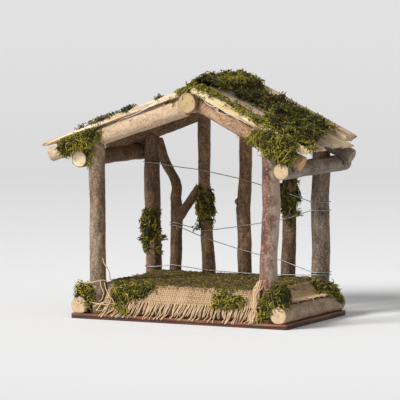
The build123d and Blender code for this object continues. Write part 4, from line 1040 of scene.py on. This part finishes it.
def weave(across, down, seed):
    """Height, gap and yarn tone of a plain weave at places measured along the cloth in millimetres."""
    u, v = across / YARN_PITCH, down / YARN_PITCH
    column, row = np.floor(u), np.floor(v)
    over = np.where((column + row) % 2 == 0, 1.0, -1.0)
    round_u, round_v = np.sin(np.pi * (u - column)), np.sin(np.pi * (v - row))
    height = WEAVE_HEIGHT * over * round_u * round_v + WEAVE_GAP * (round_u + round_v - 1)
    # The gap is the share of painted shade between the yarns
    gap = np.clip(1.05 - round_u * round_v, 0, 1) ** 2
    none = np.zeros_like(column)
    warp = chance(np.stack([column, none, none], axis=1).astype(np.int64), seed)
    weft = chance(np.stack([row, none + 7, none], axis=1).astype(np.int64), seed)
    return height, gap, np.where(over > 0, warp, weft)


def spaced(start, end, step):
    """Even places from start to end, about step apart."""
    return np.linspace(start, end, max(2, round(abs(end - start) / step) + 1))


yarn_step = YARN_PITCH / YARN_STEPS
columns = spaced(cloth_low[0] + CLOTH_INSET, cloth_high[0] - CLOTH_INSET, yarn_step)
profile = smoothed(np.array([cloth_height(x, PROFILE_Y) for x in columns]), CLOTH_ROUNDING)
cloth_top = profile[len(columns) // 2]
flap_foot = cloth_low[1] + CLOTH_INSET
hang = unit(np.array([flap_foot - CLOTH_FOLD_Y, cloth_height(0.0, flap_foot) - cloth_top]))
flap_runs = spaced(FLAP_WEAVE, 0, yarn_step)[:-1]
top_runs = spaced(0, CLOTH_REAR_Y - CLOTH_FOLD_Y, yarn_step)
rear_runs = spaced(0, cloth_top - BOARD_TOP - REAR_HEM, yarn_step)[1:]
row_y = smoothed(np.concatenate([
    CLOTH_FOLD_Y + hang[0] * flap_runs, CLOTH_FOLD_Y + top_runs, np.full(len(rear_runs), CLOTH_REAR_Y),
]), CLOTH_ROUNDING)
row_drop = smoothed(np.concatenate([hang[1] * flap_runs, 0 * top_runs, -rear_runs]), CLOTH_ROUNDING)
row_run = np.concatenate([-flap_runs, top_runs, top_runs[-1] + rear_runs])


def burlap():
    """The cloth on the ground core: out to the side logs, down over the front log and down the back."""
    seed = seed_of("burlap")
    net = (len(row_y), len(columns))
    x = np.broadcast_to(columns, net).ravel()
    y, run, drop = (np.broadcast_to(values[:, None], net).ravel() for values in (row_y, row_run, row_drop))
    spots = np.stack([x, run, 0 * x], axis=1)
    ragged = RAGGED_DEPTH + uneven(spots * (0, 1, 0), RAGGED, seed)
    x = x - np.sign(x) * ease(np.abs(x), *RAGGED_FROM) * ragged
    points = np.stack([x, y, np.interp(x, columns, profile) + drop], axis=1)
    row, column = np.meshgrid(np.arange(len(row_y) - 1), np.arange(len(columns) - 1), indexing="ij")
    first = (row * len(columns) + column).ravel()
    faces = np.stack([first, first + 1, first + len(columns) + 1, first + len(columns)], axis=1)
    middles = points[faces].mean(axis=1)
    runs = run[faces].mean(axis=1)
    half = np.where(runs < 0, FLAP_HALF, np.where(runs > top_runs[-1], REAR_HALF, np.inf))
    kept_faces = np.abs(middles[:, 0]) < half
    for index in np.flatnonzero(kept_faces & (runs > top_runs[-1] + YARN_PITCH)):
        x_here, z_here = middles[index, [0, 2]] * MM
        hit = branches.ray_cast(Vector((x_here, 1, z_here)), Vector((0, -1, 0)))[0]
        kept_faces[index] = hit is None or hit.y < BRANCH_SHOWS * MM
    used, faces = np.unique(faces[kept_faces], return_inverse=True)
    faces = faces.reshape(-1, 4)
    points, spots = points[used], spots[used]

    outward = point_ways(points, faces)
    arc = np.concatenate([[0], np.cumsum(np.hypot(np.diff(columns), np.diff(profile)))])
    height, gap, tone = weave(np.interp(spots[:, 0], columns, arc), spots[:, 1] + 1000, seed)
    creases = uneven(spots, CREASES, seed + 2) * ease(-spots[:, 1], *CREASES_FROM)
    points = points + outward * (height + creases)[:, None]
    tone_shift = 0.14 * ripple(spots, 17, seed + 4)
    # The gap mark paints shade between the yarns
    return shape(
        "burlap_weave", points * MM, faces, [jute_finish], ["burlap_cover"],
        {"yarn": np.clip(0.2 + 0.6 * tone + tone_shift, 0, 1), "gap": 0.65 * gap},
    )


def log_front(z):
    """How far forward the front log comes at a height."""
    return SILL_Y - np.sqrt(np.clip(SILL_RADIUS**2 - (z - SILL_Z) ** 2, 0, None))


def through(line, stations, rounding):
    """Even stations along a line through the given places, with its turns rounded."""
    line = np.array(line, float)
    share, turns = np.linspace(0, 1, stations), np.linspace(0, 1, len(line))
    return np.stack([smoothed(np.interp(share, turns, values), rounding) for values in line.T], axis=1)


def yarn_piece(name, paths, radii, seed):
    """Loose yarns as one piece."""
    points, faces = tubes(paths * MM, radii * MM, YARN_SIDES)[:2]
    tones = np.random.default_rng(seed).uniform(*YARN_TONES, len(paths))
    tone = np.repeat(tones, paths.shape[1] * YARN_SIDES)
    return shape(name, points, faces, [jute_finish], (), {"yarn": tone, "gap": 0 * tone})


def fringe():
    """Warp yarns left where the weft was drawn out: in loose bundles that sweep to the left and meet near
    their tips, in front of the log and the board's edge."""
    seed = seed_of("fringe")
    rng = np.random.default_rng(seed)
    starts, sweeps, ends = [], [], []
    x = FRINGE_FROM
    while x < FLAP_HALF:
        size = int(rng.choice(BUNDLE_SIZES, p=BUNDLE_CHANCES))
        sweep, end = rng.normal(SWEEP + SWEEP_TURN * x, SWEEP_SPREAD), rng.uniform(0.78, 1.12)
        for member in range(size):
            starts.append(x + member * FRINGE_PITCH)
            sweeps.append(sweep - (member - (size - 1) / 2) * rng.uniform(0.0, 0.9) + rng.normal(0, 1.3))
            ends.append(end * rng.uniform(0.92, 1.05))
        x += size * FRINGE_PITCH + rng.uniform(*BUNDLE_GAPS)
    starts, sweeps, ends = (np.array(values)[:, None] for values in (starts, sweeps, ends))
    share = np.linspace(0, 1, YARN_STATIONS)
    edge_y, edge_z = row_y[0], cloth_top + row_drop[0]
    z = np.maximum(edge_z + 1.5 - FRINGE_REACH * ends * share * (1 - 0.12 * share), FRINGE_FOOT)
    lean = rng.uniform(0.3, 2.0, starts.shape)
    y = np.minimum(edge_y - 0.3 - lean * share, log_front(z) - FRINGE_OFF - 0.6 * lean * share)
    y = np.where(z < BOARD_TOP + 1.2, np.minimum(y, BOARD_FRONT - FRINGE_OFF), y)
    y = np.array([smoothed(line, 2) for line in y])
    wave = rng.uniform(0.3, 1.2, starts.shape) * np.sin(
        share * rng.uniform(4, 9, starts.shape) + rng.uniform(0, 6, starts.shape),
    )
    x = starts + sweeps * share**1.3 + wave * share
    radii = FRINGE_RADIUS * rng.uniform(0.8, 1.15, starts.shape) * (1 - 0.25 * share)
    return yarn_piece("burlap_fringe", np.stack([x, y, z], axis=2), radii, seed)


def drawn(lines, radius, seed):
    """Smooth yarns through given places."""
    rng = np.random.default_rng(seed)
    share = np.linspace(0, 1, STRAY_STATIONS)
    paths = np.stack([through(line, STRAY_STATIONS, STRAY_ROUNDING) for line in lines])
    bends = rng.uniform(9, 17, (len(lines), 1, 3)) * share[:, None] + rng.uniform(0, 6, (len(lines), 1, 3))
    paths += np.sin(bends) * rng.uniform(0.2, 0.7, (len(lines), 1, 1)) * (1, 0.4, 1)
    radii = np.reshape(radius, (-1, 1)) * rng.uniform(0.85, 1.15, (len(lines), 1)) * (1 - 0.3 * share)
    return paths, radii


def stray_yarns():
    """Yarns pulled loose at the feet of the front posts: one wound round the left post with its end up the
    bark, others hanging over the log, and a twist of cloth drawn up the side of the right post."""
    seed = seed_of("stray")
    rng = np.random.default_rng(seed)
    lines = [
        [(-119, -71, 38), (-112, -76.5, 40), (-103, -78, 42.5), (-94, -77, 44.2), (-88, -72, 42),
         (-84, -64, 41)],
        [(-87, -70, 42), (-87, -74, 50), (-90.5, -75.5, 60), (-95, -75.8, 68)],
        [(-97, -78, 43), (-95, -79, 37), (-91.5, -79, 30), (-93, -79, 25), (-98, -79, 20)],
        [(-92, -78, 42), (-88, -79, 33), (-83, -80, 26), (-84, -80, 19), (-89, -80, 13), (-96, -80.5, 9.5),
         (-101, -80, 10.5)],
        [(-88, -78, 31), (-81, -79, 24), (-78, -79.5, 18), (-80, -80.5, 11), (-89, -82, 6)],
        [(-107, -79, 19), (-97, -79.5, 17.4), (-87, -79.5, 17.6), (-76, -79, 19)],
        [(-101, -80, 10), (-97, -80, 15), (-93, -79.5, 18.5), (-88, -79, 22)],
        [(-105, -79, 14), (-99, -80, 17), (-92, -79.5, 19.4), (-82, -79, 21)],
    ]
    radius = [STRAY_RADIUS] * len(lines) + [TUCK_RADIUS] * TUCK_YARNS
    for _ in range(TUCK_YARNS):
        aside = rng.normal(0, 1.6)
        out = rng.uniform(0, 2.4)
        lines.append([
            (99 + aside + rng.normal(0, 1.2), -75.5 - 0.3 * out, rng.uniform(42, 54)),
            (95.5 + aside + rng.normal(0, 0.8), -76.5 - out, 41),
            (94.5 + rng.normal(0, 1.4), -77.5 - out, 33),
            (95.5 + rng.normal(0, 1.6), -78.5 - out, 25), (93 + rng.normal(0, 2.2), -79.5 - out, 16),
            (91 + rng.normal(0, 3.2), -82, rng.uniform(4.5, 10)),
        ])
    paths, radii = drawn(lines, radius, seed)
    return yarn_piece("burlap_stray_yarns", paths, radii, seed)


def side_fringe():
    """Short weft ends along the two side edges of the cloth."""
    seed = seed_of("side_fringe")
    rng = np.random.default_rng(seed)
    found = [
        (side, y) for side in (-1, 1) for y in np.arange(CLOTH_FOLD_Y + 6, CLOTH_REAR_Y - 4, YARN_PITCH)
        if rng.random() < SIDE_CHANCE
    ]
    side, y = (np.array(part)[:, None] for part in zip(*found))
    share = np.linspace(0, 1, SIDE_STATIONS)
    long = rng.uniform(*SIDE_LENGTHS, side.shape)
    x = SIDE_FROM + long * share * 0.8
    drift = rng.normal(0, 2.2, side.shape)
    fall = 0.12 * np.clip(x - SIDE_HANG_FROM, 0, None) ** 2
    z = np.interp(np.minimum(x, columns[-1]), columns, profile) + 0.5 - fall
    paths = np.stack([side * x, y + drift * share**1.5, z], axis=2)
    radii = SIDE_RADIUS * rng.uniform(0.8, 1.1, side.shape) * (1 - 0.4 * share)
    return yarn_piece("burlap_side_yarns", paths, radii, seed)


cloth = burlap()
loose_yarns = [fringe(), stray_yarns(), side_fringe()]


# Thin white strips of inner bark that hang between the rafters and the slats (mm)

STRIP_RADIUS, STRIP_WAVE, STRIP_TURNS, STRIP_OFF = 0.55, 0.9, 15, 0.3


def bark_strips():
    """Torn strips on the front rafters, each pressed against the wood behind it."""
    rng = np.random.default_rng(seed_of("bark_strips"))
    lines = [
        [(23, 249.5), (40, 241), (56, 236), (81, 222.5)], [(28, 244), (50, 233), (66, 227), (78, 219)],
        [(-90, 210), (-77, 221), (-55, 231), (-24, 243), (7, 254.6)],
        [(-66, 228), (-50, 236), (-34, 240), (-20, 246)],
    ]
    share = np.linspace(0, 1, STRIP_STATIONS)
    paths = []
    for line in lines:
        x, z = through(line, STRIP_STATIONS, STRAY_ROUNDING).T
        z = z + STRIP_WAVE * np.sin(share * STRIP_TURNS + rng.uniform(0, 6))
        starts = [Vector((a * MM, -0.2, b * MM)) for a, b in zip(x, z)]
        hits = [hard.ray_cast(start, Vector(backward), 0.15)[0] for start in starts]
        found = np.array([hit is not None for hit in hits])
        y = np.interp(share, share[found], [hit.y / MM for hit in hits if hit is not None])
        paths.append(np.stack([x, smoothed(y, 3) - STRIP_OFF, z], axis=1))
    radii = STRIP_RADIUS * (1 - 0.8 * np.abs(2 * share - 1) ** 3) * rng.uniform(0.7, 1.1, (len(lines), 1))
    points, faces, along = tubes(np.stack(paths) * MM, radii * MM, YARN_SIDES)
    marks = {"relief": 0.5 + 0 * along}
    return shape("rafter_bark_strips", points, faces, [strip_finish], (), marks)


bark_strips()


# Board, wire, core and fasteners keep their CAD shape

for finish, kept in (
    (board_finish, ("base_board_lower", "base_board_upper")),
    (foam_finish, ("ground_core",)),
    (wire_finish, ("wire_top", "wire_middle", "wire_cross", "wire_low")),
    (steel_finish, ("base_screws", "frame_nails", "slat_brads")),
):
    for name in kept:
        nodes[name].data.materials.clear()
        nodes[name].data.materials.append(finish)
for name in ("base_board_lower", "base_board_upper"):
    weld = nodes[name].modifiers.new("join_corners", "WELD")
    weld.merge_threshold = 0.02 * MM
    rounded = nodes[name].modifiers.new("sanded_edges", "BEVEL")
    rounded.width = 0.5 * MM
    rounded.segments = 2
    rounded.limit_method = "ANGLE"


# Stage, light and camera

FLOOR_HALF = 30.0
LIGHT_POOL_FADE = 3.0
SKY_STRENGTH = 0.31
FAR_CLIP = 200

floor_mesh = bpy.data.meshes.new("floor")
floor_mesh.from_pydata(
    [(-FLOOR_HALF, -FLOOR_HALF, 0), (FLOOR_HALF, -FLOOR_HALF, 0), (FLOOR_HALF, FLOOR_HALF, 0),
     (-FLOOR_HALF, FLOOR_HALF, 0)], [], [(0, 1, 2, 3)],
)
floor = bpy.data.objects.new("floor", floor_mesh)
bpy.context.scene.collection.objects.link(floor)
# Matt studio paper with a painted pool of light: palest under the stable and greyer far behind it
paper, tree, place = new_finish("studio_paper", roughness=0.95)
far = add(tree, "VectorMath", {0: place}, out="Value", operation="LENGTH")
beyond = add(tree, "Math", {0: far, 1: LIGHT_POOL_FADE}, operation="ADD")
paper_light_pool = add(tree, "ValToRGB", {"Fac": add(tree, "Math", {0: far, 1: beyond}, operation="DIVIDE")}, ramp=[
    (0.0, "#FCFCFC"), (0.14, "#F8F8F8"), (0.42, "#E3E3E3"), (0.85, "#EDEDED"),
])
floor_mesh.materials.append(lead(paper, {"Base Color": paper_light_pool}))


def sun(name, way, strength, softness):
    """A lamp far away that shines from the given direction, with shadows as soft as a wide studio lamp's."""
    lamp = bpy.data.lights.new(name, "SUN")
    lamp.energy = strength
    lamp.angle = math.radians(softness)
    made = bpy.data.objects.new(name, lamp)
    made.rotation_euler = Vector(way).to_track_quat("Z", "Y").to_euler()
    bpy.context.scene.collection.objects.link(made)


sun("key_lamp", (-0.52, -0.74, 0.62), 3.25, 22)
sun("fill_lamp", (0.70, -0.50, 0.60), 0.16, 60)
world = bpy.data.worlds.new("studio")
world.use_nodes = True
sky = world.node_tree.nodes["Background"]
sky.inputs["Color"].default_value = (1, 1, 1, 1)
sky.inputs["Strength"].default_value = SKY_STRENGTH
bpy.context.scene.world = world

view_way = Vector((
    math.sin(VIEW_TURN) * math.cos(VIEW_RISE), -math.cos(VIEW_TURN) * math.cos(VIEW_RISE),
    math.sin(VIEW_RISE),
))
lens = bpy.data.cameras.new("camera")
lens.lens = LENS
lens.sensor_width = SENSOR
lens.shift_x, lens.shift_y = VIEW_SHIFT
lens.clip_end = FAR_CLIP
camera = bpy.data.objects.new("camera", lens)
camera.location = VIEW_TARGET + view_way * VIEW_DISTANCE
camera.rotation_euler = view_way.to_track_quat("Z", "Y").to_euler()
bpy.context.scene.collection.objects.link(camera)
bpy.context.scene.camera = camera
bpy.context.scene.view_settings.view_transform = "Standard"
